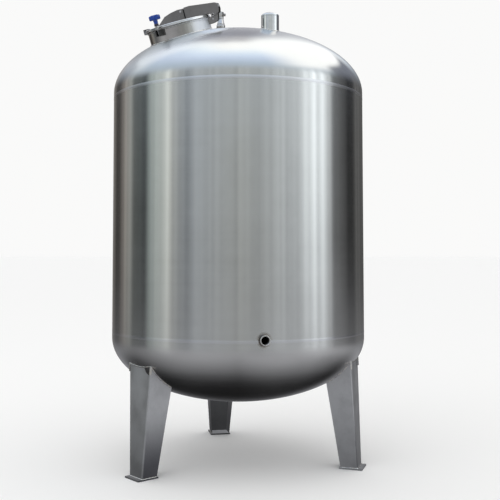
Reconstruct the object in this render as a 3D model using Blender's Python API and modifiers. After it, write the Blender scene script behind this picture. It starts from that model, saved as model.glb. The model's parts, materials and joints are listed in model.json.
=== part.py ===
"""Vertical stainless steel storage tank on three legs, with a hinged manway on its domed top.

Metres, +Z up. The origin is on the floor, on the tank's axis. The front faces -Y, and an azimuth
is counted from the front towards +X. The manway's own pieces are drawn in the manway's frame:
U points from its middle to the hinge, W along its axis, and W = 0 at the top of the lid.
"""
import math

import bmesh
import bpy
from mathutils import Matrix, Vector

# Driving dimensions of the vessel
TANK_RADIUS = 0.75
WALL = 0.003
BOTTOM_SEAM_Z = 0.763
TOP_SEAM_Z = 2.137
HEAD_BULGE = TANK_RADIUS / 2
HEAD_SKIRT = 0.036
HEAD_ARC_STEPS = 13
TOUCH_GAP = 0.0003
ROUND_STEPS = 64

# Driving dimensions of the legs and feet
LEG_SHEET = 0.004
LEG_FOLD_RADIUS = 0.008
LEG_AZIMUTHS = {"front_left": -49.2, "front_right": 70.8, "rear": 190.8}
LEG_TOP_Z = 0.62
LEG_FACE_RADIUS = (0.731, 0.705)
LEG_HALF_WIDTH = (0.060, 0.104)
LEG_EDGE_RADIUS = (0.633, 0.542)
LEG_NOTCH_RADIUS = 0.058
LEG_NOTCH_INSET = 0.012
LEG_FOLD_STEPS = 3
FOOT_LENGTH = 0.131
FOOT_WIDTH = 0.129
FOOT_THICKNESS = 0.009
FOOT_CENTRE_RADIUS = 0.692

# Driving dimensions of the manway
MANWAY_AZIMUTH = -49.35
MANWAY_OFFSET = 0.435
MANWAY_HEIGHT = 0.0716
NECK_REACH = 0.024
HINGE_HEADING = -12.0
NECK_RADIUS = 0.182
NECK_TOP = -0.0128
LID_RADIUS = 0.190
LID_SHEET = 0.003
LID_PANEL_RADIUS = 0.157
LID_STEP_WIDTH = 0.008
LID_RIM_DROP = 0.003
LID_EDGE_ROUND = 0.004
LID_SKIRT_BOTTOM = -0.016
GASKET_BORE = 0.172
MANWAY_STEPS = 48

# Driving dimensions of the lid's arm and hinge
PIN_U = 0.2195
PIN_W = -0.0115
PIN_RADIUS = 0.005
PIN_CLEARANCE = 0.0008
ARM_HALF_WIDTH = 0.027
ARM_SHEET = 0.003
ARM_LOBE = 0.011
BRACKET_HALF_WIDTH = 0.019
BRACKET_SHEET = 0.004
BRACKET_LOBE = 0.0115
LUG_PIN_U = 0.0386
LUG_PIN_W = 0.054
LID_LUG_HALF_WIDTH = 0.008
PIN_HEAD_HEIGHT = 0.003
HINGE_PIN_HEAD = 0.0085
LUG_PIN_HEAD = 0.0065

# Driving dimensions of the two clamps
CLAMP_ANGLES = {"near": -109.5, "far": 109.5}
CLAMP_RADIUS = 0.206
SCREW_RADIUS = 0.005
SCREW_TOP = 0.030
SCREW_BOTTOM = -0.048
COLLAR_RADIUS = 0.009
COLLAR_HEIGHT = 0.004
RING_RADIUS = 0.008
RING_HEIGHT = 0.003
RING_SLACK = 0.0005
EAR_TOP = -0.006
EAR_THICKNESS = 0.005
EAR_HALF_WIDTH = 0.014
EAR_ROUND_SHIFT = 0.004
LUG_TOP = -0.024
LUG_HEIGHT = 0.033
LUG_HALF_WIDTH = 0.015
LUG_REACH = 0.014
LUG_SLOT_HALF_WIDTH = 0.008
CLAMP_ROOT = 0.172
KNOB_RADIUS = 0.033
KNOB_LOBES = 5
KNOB_LOBE_SHARE = 0.14
KNOB_LOBE_STEPS = 10
KNOB_BOTTOM = 0.012
KNOB_STAR_BOTTOM = 0.034
KNOB_STAR_TOP = 0.060
KNOB_EDGE_ROUND = 0.005
HUB_RADIUS = 0.0125
HUB_FOOT_RADIUS = 0.0105
HUB_TOP = 0.050

# Driving dimensions of the fittings
VENT_X = -0.104
VENT_Y = -0.100
VENT_TUBE_RADIUS = 0.018
VENT_TUBE_BORE = 0.015
VENT_TUBE_BOTTOM = -0.012
VENT_NUT_BOTTOM = 0.025
VENT_NUT_TOP = 0.047
VENT_NUT_RADIUS = 0.026
VENT_NUT_CHAMFER = 0.004
VENT_BODY_TOP = 0.094
VENT_BODY_RADIUS = 0.0165
VENT_BODY_NECK = 0.010
VENT_BODY_FLARE = 0.006
VENT_HEX_TOP = 0.126
VENT_HEX_RADIUS = 0.0175
VENT_OUTLET_Z = 0.110
VENT_OUTLET_RADIUS = 0.009
VENT_OUTLET_REACH = 0.029
PIPE_X = 0.182
PIPE_Y = -0.360
PIPE_RADIUS = 0.0508
PIPE_WALL = 0.002
PIPE_TOP_Z = 2.558
PIPE_CAP_SKIRT = 0.008
PIPE_CAP_RISE = 0.018
PIPE_CAP_ARC_STEPS = 6
PIPE_REACH = 0.008
SOCKET_AZIMUTH = 10.3
SOCKET_Z = 0.7725
SOCKET_RADIUS = 0.0272
SOCKET_BORE = 0.0225
SOCKET_REACH = 0.030
SOCKET_INSIDE = -0.014
PIPE_STEPS = 32
SMALL_STEPS = 24
NOTCH_STEPS = 8
CUT_REACH = 0.05

STEEL = ((0.62, 0.62, 0.60), 1.0, 0.28)
POLISHED = ((0.74, 0.74, 0.73), 1.0, 0.12)
DARK_STEEL = ((0.42, 0.42, 0.40), 1.0, 0.35)
BLUE_PLASTIC = ((0.01, 0.07, 0.50), 0.0, 0.35)
GREY_RUBBER = ((0.12, 0.12, 0.12), 0.0, 0.70)


def clear_scene():
    for old in list(bpy.data.objects):
        bpy.data.objects.remove(old, do_unlink=True)


def new_collection(name):
    group = bpy.data.collections.new(name)
    bpy.context.scene.collection.children.link(group)
    return group


clear_scene()
TANK = new_collection("vertical_storage_tank")
CUTTERS = new_collection("cutters")


def add_object(name, mesh, matrix=None):
    """Link a mesh as a named piece of the tank."""
    piece = bpy.data.objects.new(name, mesh)
    piece.matrix_world = matrix or Matrix.Identity(4)
    TANK.objects.link(piece)
    return piece


def as_cutter(piece):
    """Turn a piece into a hidden cutter."""
    for group in list(piece.users_collection):
        group.objects.unlink(piece)
    CUTTERS.objects.link(piece)
    piece.hide_render = True
    piece.display_type = "WIRE"
    return piece


def cut(piece, cutter, operation="DIFFERENCE"):
    bite = piece.modifiers.new(operation.lower() + "_" + cutter.name, "BOOLEAN")
    bite.operation = operation
    bite.solver = "EXACT"
    bite.object = cutter
    return piece


def finish(piece, look, smooth=True):
    """Give a piece its own material, and smooth shading across its round faces."""
    colour, metallic, roughness = look
    material = bpy.data.materials.new(piece.name)
    material.use_nodes = True
    shader = material.node_tree.nodes["Principled BSDF"]
    shader.inputs["Base Color"].default_value = (*colour, 1.0)
    shader.inputs["Metallic"].default_value = metallic
    shader.inputs["Roughness"].default_value = roughness
    piece.data.materials.append(material)
    if smooth:
        piece.data.shade_smooth()
        piece.data.set_sharp_from_angle(angle=math.radians(35))
    return piece


def turned(name, profile, steps, matrix=None):
    """Turn a profile of (radius, height) points, listed down its outer side, about local Z."""
    mesh = bpy.data.meshes.new(name)
    verts = [(radius, 0.0, height) for radius, height in profile]
    edges = [(i, i + 1) for i in range(len(verts) - 1)]
    open_at_axis = profile[0][0] == 0.0 and profile[-1][0] == 0.0
    if not open_at_axis:
        edges.append((len(verts) - 1, 0))
    mesh.from_pydata(verts, edges, [])
    piece = add_object(name, mesh, matrix)
    screw = piece.modifiers.new("turn", "SCREW")
    screw.steps = steps
    screw.render_steps = steps
    screw.use_merge_vertices = True
    screw.merge_threshold = 0.00005
    return piece


def tube(name, outer, inner, top, bottom, steps, matrix=None):
    return turned(name, [(outer, top), (outer, bottom), (inner, bottom), (inner, top)], steps, matrix)


def rod(name, radius, top, bottom, steps, matrix=None):
    return turned(name, [(0.0, top), (radius, top), (radius, bottom), (0.0, bottom)], steps, matrix)


def box(name, low, high, matrix=None):
    """A block between two corners of its own frame."""
    low, high = Vector(low), Vector(high)
    mesh = bpy.data.meshes.new(name)
    shape = bmesh.new()
    bmesh.ops.create_cube(shape, size=1.0)
    size = high - low
    bmesh.ops.scale(shape, vec=size, verts=shape.verts)
    bmesh.ops.translate(shape, vec=(low + high) / 2, verts=shape.verts)
    shape.to_mesh(mesh)
    shape.free()
    return add_object(name, mesh, matrix)


def plate(name, outline, thickness, matrix=None):
    """A flat plate: an outline in local X and Y, centred on local Z."""
    curve = bpy.data.curves.new(name, "CURVE")
    curve.dimensions = "2D"
    curve.fill_mode = "BOTH"
    curve.extrude = thickness / 2
    spline = curve.splines.new("POLY")
    spline.points.add(len(outline) - 1)
    for point, (x, y) in zip(spline.points, outline):
        point.co = (x, y, 0.0, 1.0)
    spline.use_cyclic_u = True
    guide = add_object(name + "_outline", curve, matrix)
    bpy.context.view_layer.update()
    seen = guide.evaluated_get(bpy.context.evaluated_depsgraph_get())
    mesh = bpy.data.meshes.new_from_object(seen)
    mesh.name = name
    shape = bmesh.new()
    shape.from_mesh(mesh)
    bmesh.ops.remove_doubles(shape, verts=shape.verts, dist=0.00005)
    bmesh.ops.recalc_face_normals(shape, faces=shape.faces)
    shape.to_mesh(mesh)
    shape.free()
    piece = add_object(name, mesh, matrix)
    bpy.data.objects.remove(guide, do_unlink=True)
    return piece


def bevel(piece, width, segments=2, angle=40.0):
    edge = piece.modifiers.new("rounded_edges", "BEVEL")
    edge.width = width
    edge.segments = segments
    edge.limit_method = "ANGLE"
    edge.angle_limit = math.radians(angle)
    return piece


def arc(centre, radius, start, end, count):
    """Points on an arc from start to end, in degrees."""
    points = []
    for i in range(count + 1):
        angle = math.radians(start + (end - start) * i / count)
        points.append((centre[0] + radius * math.cos(angle), centre[1] + radius * math.sin(angle)))
    return points


def around(azimuth):
    """Local +X points outwards at an azimuth counted from the front."""
    return Matrix.Rotation(math.radians(azimuth - 90.0), 4, "Z")


def head_profile(radius, bulge, skirt, count):
    """A half ellipse on a straight skirt, from its middle to its rim, as (radius, height)."""
    points = [(0.0, skirt + bulge)]
    for i in range(1, count + 1):
        turn = math.pi / 2 * i / count
        points.append((radius * math.sin(turn), skirt + bulge * math.cos(turn)))
    points.append((radius, 0.0))
    return points


OUTER_HEAD = head_profile(TANK_RADIUS, HEAD_BULGE, HEAD_SKIRT, HEAD_ARC_STEPS)
INNER_HEAD = head_profile(TANK_RADIUS - WALL, HEAD_BULGE - WALL, HEAD_SKIRT, HEAD_ARC_STEPS)


def dome_height(offset):
    """Height of the top head's outer face at an offset from the tank's axis."""
    return TOP_SEAM_Z + HEAD_SKIRT + HEAD_BULGE * math.sqrt(1 - (offset / TANK_RADIUS) ** 2)


def dome_normal(x, y):
    """The outward direction of the top head's outer face."""
    height = dome_height(math.hypot(x, y)) - TOP_SEAM_Z - HEAD_SKIRT
    flatness = (HEAD_BULGE / TANK_RADIUS) ** 2
    return Vector((x * flatness / height, y * flatness / height, 1.0)).normalized()


def make_head(name, rim_z, side):
    """A dished head on a rim, bulging up for side 1 and down for side -1."""
    outer = [(r, rim_z + side * h) for r, h in OUTER_HEAD]
    inner = [(r, rim_z + side * h) for r, h in INNER_HEAD]
    profile = outer + inner[::-1]
    if side < 0:
        profile.reverse()
    return finish(turned(name, profile, ROUND_STEPS), STEEL)


# Shell and heads, butted at the two welded seams
tank_shell = tube("tank_shell", TANK_RADIUS, TANK_RADIUS - WALL, TOP_SEAM_Z - TOUCH_GAP,
                  BOTTOM_SEAM_Z + TOUCH_GAP, ROUND_STEPS)
finish(tank_shell, STEEL)
top_head = make_head("top_head", TOP_SEAM_Z, 1)
bottom_head = make_head("bottom_head", BOTTOM_SEAM_Z, -1)


def head_cutter():
    """The bottom head's outer form, filled and a touch larger, that the legs are scribed to."""
    grown = head_profile(TANK_RADIUS + TOUCH_GAP, HEAD_BULGE + TOUCH_GAP, HEAD_SKIRT, HEAD_ARC_STEPS)
    profile = [(r, BOTTOM_SEAM_Z - h) for r, h in grown] + [(0.0, BOTTOM_SEAM_Z)]
    profile.reverse()
    return as_cutter(turned("scribed_head", profile, ROUND_STEPS))


SCRIBED_HEAD = head_cutter()


def leg_section(height_share):
    """The four corners of the folded sheet at a share of the leg's height."""
    face = LEG_FACE_RADIUS[0] + (LEG_FACE_RADIUS[1] - LEG_FACE_RADIUS[0]) * height_share
    half = LEG_HALF_WIDTH[0] + (LEG_HALF_WIDTH[1] - LEG_HALF_WIDTH[0]) * height_share
    edge = LEG_EDGE_RADIUS[0] + (LEG_EDGE_RADIUS[1] - LEG_EDGE_RADIUS[0]) * height_share
    z = FOOT_THICKNESS + TOUCH_GAP + (LEG_TOP_Z - FOOT_THICKNESS - TOUCH_GAP) * height_share
    return [(edge, -half, z), (face, -half, z), (face, half, z), (edge, half, z)]


def make_leg(name, azimuth):
    """A tapered channel of folded sheet, open towards the tank's axis."""
    mesh = bpy.data.meshes.new(name)
    verts = leg_section(0.0) + leg_section(1.0)
    faces = [(i, i + 1, i + 5, i + 4) for i in range(3)]
    mesh.from_pydata(verts, [], faces)
    leg = add_object(name, mesh, around(azimuth))
    bevel(leg, LEG_FOLD_RADIUS, LEG_FOLD_STEPS)
    sheet = leg.modifiers.new("sheet", "SOLIDIFY")
    sheet.thickness = LEG_SHEET
    sheet.offset = -1.0
    sheet.use_even_offset = True
    cut(leg, SCRIBED_HEAD)
    return finish(leg, STEEL)


def make_foot(name, azimuth):
    half_length, half_width = FOOT_LENGTH / 2, FOOT_WIDTH / 2
    low = (FOOT_CENTRE_RADIUS - half_length, -half_width, 0.0)
    high = (FOOT_CENTRE_RADIUS + half_length, half_width, FOOT_THICKNESS)
    return finish(box(name, low, high, around(azimuth)), STEEL, smooth=False)


def make_notch(leg, azimuth):
    """A quarter round relief in the leg's face, beside one fold, where the face meets the head."""
    _, _, (face, fold, top), _ = leg_section(1.0)
    corner = arc((0.0, 0.0), LEG_NOTCH_RADIUS, 180.0, 270.0, NOTCH_STEPS)
    outline = [*corner, (0.0, LEG_NOTCH_RADIUS), (-LEG_NOTCH_RADIUS, LEG_NOTCH_RADIUS)]
    facing_out = Matrix(((0, 0, 1), (1, 0, 0), (0, 1, 0))).to_4x4()
    place = Matrix.Translation((face, fold - LEG_NOTCH_INSET, top))
    lie = around(azimuth) @ place @ facing_out
    cut(leg, as_cutter(plate("relief_" + leg.name, outline, CUT_REACH, lie)))


for side, azimuth in LEG_AZIMUTHS.items():
    leg = make_leg(side + "_leg", azimuth)
    make_notch(leg, azimuth)
    make_foot(side + "_foot", azimuth)


def manway_frame():
    """The manway's frame: X to the hinge, Z along its axis, origin at the top of the lid."""
    azimuth = math.radians(MANWAY_AZIMUTH)
    foot = Vector((math.sin(azimuth) * MANWAY_OFFSET, -math.cos(azimuth) * MANWAY_OFFSET,
                   dome_height(MANWAY_OFFSET)))
    axis = dome_normal(foot.x, foot.y)
    heading = math.radians(HINGE_HEADING)
    hinge = Vector((math.cos(heading), math.sin(heading), 0.0))
    hinge = (hinge - axis * hinge.dot(axis)).normalized()
    across = axis.cross(hinge)
    frame = Matrix((hinge, across, axis)).transposed().to_4x4()
    frame.translation = foot + axis * MANWAY_HEIGHT
    return frame


MANWAY = manway_frame()


def add_pivot(name, matrix, parent=None):
    """An empty that marks a joint's axis."""
    pivot = bpy.data.objects.new(name, None)
    TANK.objects.link(pivot)
    pivot.parent = parent
    bpy.context.view_layer.update()
    pivot.matrix_world = matrix
    bpy.context.view_layer.update()
    return pivot


LID_PIVOT = add_pivot("lid_hinge_axis", MANWAY @ Matrix.Translation((PIN_U, 0.0, PIN_W)))


def hang_on(piece, pivot):
    """Parent a piece to a pivot without moving it."""
    place = piece.matrix_world.copy()
    piece.parent = pivot
    piece.matrix_world = place
    bpy.context.view_layer.update()
    return piece


def side_plate(name, outline, thickness):
    """A plate whose outline lies in the manway's U and W."""
    upright = Matrix.Rotation(math.pi / 2, 4, "X")
    return plate(name, outline, thickness, MANWAY @ upright)


def clamp_frame(angle):
    """Local +X points outwards from the manway's axis at a clamp's angle from the hinge."""
    return MANWAY @ Matrix.Rotation(math.radians(angle), 4, "Z")


# Manway neck, through its hole in the top head
NECK_BOTTOM = -MANWAY_HEIGHT - NECK_REACH
manway_neck = tube("manway_neck", NECK_RADIUS, NECK_RADIUS - WALL, NECK_TOP, NECK_BOTTOM,
                   MANWAY_STEPS, MANWAY)
finish(manway_neck, STEEL)
NECK_CUTTER = as_cutter(rod("neck_hole", NECK_RADIUS + TOUCH_GAP, CUT_REACH, NECK_BOTTOM - CUT_REACH,
                            MANWAY_STEPS, MANWAY))
LID_CUTTER = as_cutter(rod("lid_edge", LID_RADIUS + TOUCH_GAP, CUT_REACH, -CUT_REACH, MANWAY_STEPS,
                           MANWAY))
cut(top_head, NECK_CUTTER)


def make_lid():
    """The pressed lid with its turned down skirt."""
    rim = -LID_RIM_DROP
    step = LID_PANEL_RADIUS + LID_STEP_WIDTH
    inside = LID_RADIUS - LID_SHEET
    profile = [(0.0, 0.0), (LID_PANEL_RADIUS, 0.0), (step, rim), (LID_RADIUS - LID_EDGE_ROUND, rim),
               (LID_RADIUS, rim - LID_EDGE_ROUND), (LID_RADIUS, LID_SKIRT_BOTTOM),
               (inside, LID_SKIRT_BOTTOM), (inside, rim - LID_SHEET), (step, rim - LID_SHEET),
               (LID_PANEL_RADIUS, -LID_SHEET), (0.0, -LID_SHEET)]
    return finish(turned("manway_lid", profile, MANWAY_STEPS, MANWAY), STEEL)


manway_lid = make_lid()
GASKET_TOP = -LID_RIM_DROP - LID_SHEET - TOUCH_GAP
manway_gasket = tube("manway_gasket", LID_RADIUS - LID_SHEET - TOUCH_GAP, GASKET_BORE, GASKET_TOP,
                     NECK_TOP + TOUCH_GAP, MANWAY_STEPS, MANWAY)
finish(manway_gasket, GREY_RUBBER)

# Top line of the arm, from its nose over the lid's middle to the hinge end
NOSE_TIP = (-0.112, 0.008)
NOSE_BROW = (-0.061, 0.0495)
NOSE_TOP = (-0.022, 0.061)
ARM_RISE = (0.024, 0.0680)
ARM_START_U = 0.062
ARM_START_W = 0.0697
ARM_PEAK = (0.097, 0.0707)
ARM_SHOULDER = (0.243, 0.0511)
ARM_CORNER = (0.2565, 0.0440)
ARM_END = (0.2606, 0.0156)
ARM_HEEL = (0.2560, -0.0060)
ARM_OVERLAP_END = 0.077
ARM_FOOT_U = 0.200
STRAP_U = 0.2515
STRAP_BOTTOM = 0.024
ON_LID = TOUCH_GAP
BEYOND = 0.28
DEEP = -0.06


def lowered(point):
    return (point[0], point[1] - ARM_SHEET)


def pin_hole(name, u, w, radius):
    """A cutter for a cross hole through the arm or the bracket."""
    lie = MANWAY @ Matrix.Translation((u, 0.0, w)) @ Matrix.Rotation(math.pi / 2, 4, "X")
    return as_cutter(rod(name, radius, CUT_REACH, -CUT_REACH, SMALL_STEPS, lie))


ARM_PIN_HOLE = pin_hole("arm_pin_hole", PIN_U, PIN_W, PIN_RADIUS + PIN_CLEARANCE)
BRACKET_PIN_HOLE = pin_hole("bracket_pin_hole", PIN_U, PIN_W, PIN_RADIUS + TOUCH_GAP)
LUG_PIN_HOLE = pin_hole("lug_pin_hole", LUG_PIN_U, LUG_PIN_W, PIN_RADIUS + TOUCH_GAP)


def make_arm():
    """The folded channel that carries the lid, with lobes round the hinge pin."""
    lobe = arc((PIN_U, PIN_W), ARM_LOBE, -35.0, -180.0, 8)
    outline = [(ARM_START_U, ON_LID), (ARM_START_U, ARM_START_W), ARM_PEAK, ARM_SHOULDER, ARM_CORNER,
               ARM_END, ARM_HEEL, *lobe, (ARM_FOOT_U, ON_LID)]
    arm = side_plate("lid_arm", outline, 2 * ARM_HALF_WIDTH)
    inside = [(ARM_RISE[0], DEEP), (ARM_RISE[0], ARM_START_W - ARM_SHEET),
              lowered((ARM_START_U, ARM_START_W)), lowered(ARM_PEAK), lowered(ARM_SHOULDER),
              lowered(ARM_CORNER), (BEYOND, ARM_CORNER[1] - ARM_SHEET), (BEYOND, DEEP)]
    hollow = side_plate("arm_hollow", inside, 2 * (ARM_HALF_WIDTH - ARM_SHEET))
    cut(arm, as_cutter(hollow))
    cut(arm, ARM_PIN_HOLE)
    return finish(arm, DARK_STEEL)


NOSE_HALF_WIDTH = ARM_HALF_WIDTH - ARM_SHEET - TOUCH_GAP


def make_nose():
    """The tapered front of the arm, tucked into the channel behind it."""
    roof = ARM_START_W - ARM_SHEET - TOUCH_GAP
    step = (ARM_RISE[0] + ARM_START_U) / 2
    outline = [(NOSE_TIP[0], ON_LID), NOSE_TIP, NOSE_BROW, NOSE_TOP, ARM_RISE, (step, roof),
               (ARM_OVERLAP_END, roof), (ARM_OVERLAP_END, ON_LID)]
    nose = side_plate("arm_nose", outline, 2 * NOSE_HALF_WIDTH)
    inside = [(NOSE_TIP[0] + ARM_SHEET, DEEP), (NOSE_TIP[0] + ARM_SHEET, NOSE_TIP[1]),
              (NOSE_BROW[0] + ARM_SHEET, NOSE_BROW[1] - ARM_SHEET), lowered(NOSE_TOP), lowered(ARM_RISE),
              (step, roof - ARM_SHEET), (ARM_PEAK[0], roof - ARM_SHEET), (ARM_PEAK[0], DEEP)]
    hollow = side_plate("nose_hollow", inside, 2 * (NOSE_HALF_WIDTH - ARM_SHEET))
    cut(nose, as_cutter(hollow))
    cut(nose, LUG_PIN_HOLE)
    return finish(nose, DARK_STEEL)


def cross_pin(name, u, w, half_length, head_radius):
    """A pin across the arm with a head at each end."""
    lie = MANWAY @ Matrix.Translation((u, 0.0, w)) @ Matrix.Rotation(math.pi / 2, 4, "X")
    neck = half_length - PIN_HEAD_HEIGHT
    profile = [(0.0, half_length), (head_radius, half_length), (head_radius, neck), (PIN_RADIUS, neck),
               (PIN_RADIUS, -neck), (head_radius, -neck), (head_radius, -half_length),
               (0.0, -half_length)]
    return finish(turned(name, profile, SMALL_STEPS, lie), POLISHED)


def make_lid_lug():
    """The upright lug in the middle of the lid that the arm is pinned to."""
    half_foot, half_top, corner = 0.017, 0.011, 0.004
    top = LUG_PIN_W + 0.009
    outline = [(LUG_PIN_U - half_foot, ON_LID), (LUG_PIN_U + half_foot, ON_LID),
               (LUG_PIN_U + half_top, top - corner), (LUG_PIN_U + half_top - corner, top),
               (LUG_PIN_U - half_top + corner, top), (LUG_PIN_U - half_top, top - corner)]
    lug = side_plate("lid_lug", outline, 2 * LID_LUG_HALF_WIDTH)
    cut(lug, LUG_PIN_HOLE)
    return finish(lug, DARK_STEEL)


def make_end_strap():
    """The strap across the open end of the arm's channel."""
    low = (STRAP_U, -NOSE_HALF_WIDTH, STRAP_BOTTOM)
    high = (STRAP_U + ARM_SHEET, NOSE_HALF_WIDTH, ARM_CORNER[1] - ARM_SHEET - TOUCH_GAP)
    return finish(box("arm_end_strap", low, high, MANWAY), DARK_STEEL, smooth=False)


lid_arm = make_arm()
arm_nose = make_nose()
lid_lug = make_lid_lug()
arm_end_strap = make_end_strap()
PIN_STAND = PIN_HEAD_HEIGHT + PIN_CLEARANCE
lug_pin = cross_pin("lid_lug_pin", LUG_PIN_U, LUG_PIN_W, NOSE_HALF_WIDTH + PIN_STAND, LUG_PIN_HEAD)
hinge_pin = cross_pin("hinge_pin", PIN_U, PIN_W, ARM_HALF_WIDTH + PIN_STAND, HINGE_PIN_HEAD)

# Outline of the hinge bracket, from its root inside the neck's wall round its outer corner
BRACKET_ROOT_U = 0.172
BRACKET_ROOT_TOP = -0.0215
BRACKET_ROOT_BOTTOM = -0.058
BRACKET_SHOULDER_U = 0.203
BRACKET_OUTER = [(0.2455, -0.012), (0.2405, -0.044), (0.231, -0.052), (0.203, -0.0575)]


def make_bracket():
    """The two cheeks and web, welded to the neck, that carry the hinge pin."""
    crown = arc((PIN_U, PIN_W), BRACKET_LOBE, 160.0, 30.0, 7)
    outline = [(BRACKET_ROOT_U, BRACKET_ROOT_BOTTOM), (BRACKET_ROOT_U, BRACKET_ROOT_TOP),
               (BRACKET_SHOULDER_U, BRACKET_ROOT_TOP), *crown, *BRACKET_OUTER]
    bracket = side_plate("hinge_bracket", outline, 2 * BRACKET_HALF_WIDTH)
    web = NECK_RADIUS + BRACKET_SHEET
    inner = BRACKET_HALF_WIDTH - BRACKET_SHEET
    gap = box("bracket_gap", (web, -inner, DEEP - CUT_REACH), (BEYOND, inner, CUT_REACH), MANWAY)
    cut(bracket, as_cutter(gap))
    cut(bracket, NECK_CUTTER)
    cut(bracket, BRACKET_PIN_HOLE)
    return finish(bracket, DARK_STEEL)


hinge_bracket = make_bracket()


# The lid's grip: a strip that stands on the lid's rim and turns out over it and down
GRIP_OUTER = -0.205
GRIP_INNER = -0.178
GRIP_TOP = 0.011
GRIP_BOTTOM = -0.019
GRIP_SHEET = 0.003
GRIP_WIDTH = 0.054


def make_handle():
    """The folded grip on the lid's edge, opposite the hinge."""
    foot = -LID_RIM_DROP + TOUCH_GAP
    outline = [(GRIP_OUTER, GRIP_BOTTOM), (GRIP_OUTER, GRIP_TOP), (GRIP_INNER, GRIP_TOP),
               (GRIP_INNER, foot), (GRIP_INNER - GRIP_SHEET, foot),
               (GRIP_INNER - GRIP_SHEET, GRIP_TOP - GRIP_SHEET),
               (GRIP_OUTER + GRIP_SHEET, GRIP_TOP - GRIP_SHEET), (GRIP_OUTER + GRIP_SHEET, GRIP_BOTTOM)]
    return finish(side_plate("lid_handle", outline, GRIP_WIDTH), STEEL, smooth=False)


lid_handle = make_handle()


def make_ear(name, angle):
    """A round ended ear on the lid's edge for one clamp screw."""
    outer_end = arc((CLAMP_RADIUS + EAR_ROUND_SHIFT, 0.0), EAR_HALF_WIDTH, -90.0, 90.0, 10)
    outline = [(CLAMP_ROOT, -EAR_HALF_WIDTH), *outer_end, (CLAMP_ROOT, EAR_HALF_WIDTH)]
    lie = clamp_frame(angle) @ Matrix.Translation((0.0, 0.0, EAR_TOP - EAR_THICKNESS / 2))
    ear = plate(name, outline, EAR_THICKNESS, lie)
    cut(ear, LID_CUTTER)
    lie = clamp_frame(angle) @ Matrix.Translation((CLAMP_RADIUS, 0.0, 0.0))
    hole = rod(name + "_hole", SCREW_RADIUS + PIN_CLEARANCE, CUT_REACH, -CUT_REACH, SMALL_STEPS, lie)
    cut(ear, as_cutter(hole))
    return finish(ear, STEEL)


def make_clamp_lug(name, angle):
    """The forked lug on the neck that a clamp screw drops into."""
    half, slot = LUG_HALF_WIDTH, LUG_SLOT_HALF_WIDTH
    reach = CLAMP_RADIUS + LUG_REACH
    outline = [(CLAMP_ROOT, -half), (reach, -half), (reach, -slot),
               *arc((CLAMP_RADIUS, 0.0), slot, -90.0, -270.0, 8), (reach, slot), (reach, half),
               (CLAMP_ROOT, half)]
    lie = clamp_frame(angle) @ Matrix.Translation((0.0, 0.0, LUG_TOP - LUG_HEIGHT / 2))
    lug = plate(name, outline, LUG_HEIGHT, lie)
    cut(lug, NECK_CUTTER)
    return finish(lug, DARK_STEEL)


def make_screw(name, axis):
    """The clamp screw: a stem with a collar over the ear and a ring under it."""
    collar_bottom = EAR_TOP + TOUCH_GAP
    collar_top = collar_bottom + COLLAR_HEIGHT
    ring_top = EAR_TOP - EAR_THICKNESS - RING_SLACK
    ring_bottom = ring_top - RING_HEIGHT
    profile = [(0.0, SCREW_TOP), (SCREW_RADIUS, SCREW_TOP), (SCREW_RADIUS, collar_top),
               (COLLAR_RADIUS, collar_top), (COLLAR_RADIUS, collar_bottom),
               (SCREW_RADIUS, collar_bottom), (SCREW_RADIUS, ring_top), (RING_RADIUS, ring_top),
               (RING_RADIUS, ring_bottom), (SCREW_RADIUS, ring_bottom),
               (SCREW_RADIUS, SCREW_BOTTOM), (0.0, SCREW_BOTTOM)]
    return finish(turned(name, profile, SMALL_STEPS, axis), POLISHED)


def star_outline():
    """The knob's lobed outline: a circle whose radius swells once for each lobe."""
    count = KNOB_LOBES * KNOB_LOBE_STEPS
    swell = KNOB_RADIUS * KNOB_LOBE_SHARE
    mean = KNOB_RADIUS - swell
    points = []
    for i in range(count):
        angle = 2 * math.pi * i / count
        radius = mean + swell * math.cos(KNOB_LOBES * angle)
        points.append((radius * math.cos(angle), radius * math.sin(angle)))
    return points


def make_knob(name, axis):
    """The lobed plastic knob with its hub, bored for the screw."""
    lie = axis @ Matrix.Translation((0.0, 0.0, (KNOB_STAR_BOTTOM + KNOB_STAR_TOP) / 2))
    star = plate(name + "_star", star_outline(), KNOB_STAR_TOP - KNOB_STAR_BOTTOM, lie)
    bevel(star, KNOB_EDGE_ROUND, 2, 60.0)
    hub = [(0.0, HUB_TOP), (HUB_RADIUS, HUB_TOP), (HUB_RADIUS, SCREW_TOP),
           (HUB_FOOT_RADIUS, KNOB_BOTTOM), (0.0, KNOB_BOTTOM)]
    knob = turned(name, hub, SMALL_STEPS, axis)
    cut(knob, as_cutter(star), "UNION")
    bore = rod(name + "_bore", SCREW_RADIUS + TOUCH_GAP, SCREW_TOP + TOUCH_GAP, 0.0, SMALL_STEPS, axis)
    cut(knob, as_cutter(bore))
    return finish(knob, BLUE_PLASTIC)


moving = [manway_lid, manway_gasket, lid_arm, arm_nose, lid_lug, arm_end_strap, lug_pin, lid_handle]
for side, angle in CLAMP_ANGLES.items():
    moving.append(make_ear(side + "_clamp_ear", angle))
    make_clamp_lug(side + "_clamp_lug", angle)
    screw_axis = clamp_frame(angle) @ Matrix.Translation((CLAMP_RADIUS, 0.0, 0.0))
    pivot = add_pivot(side + "_clamp_axis", screw_axis, LID_PIVOT)
    hang_on(make_screw(side + "_clamp_screw", screw_axis), pivot)
    hang_on(make_knob(side + "_clamp_knob", screw_axis), pivot)
for piece in moving:
    hang_on(piece, LID_PIVOT)


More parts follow.
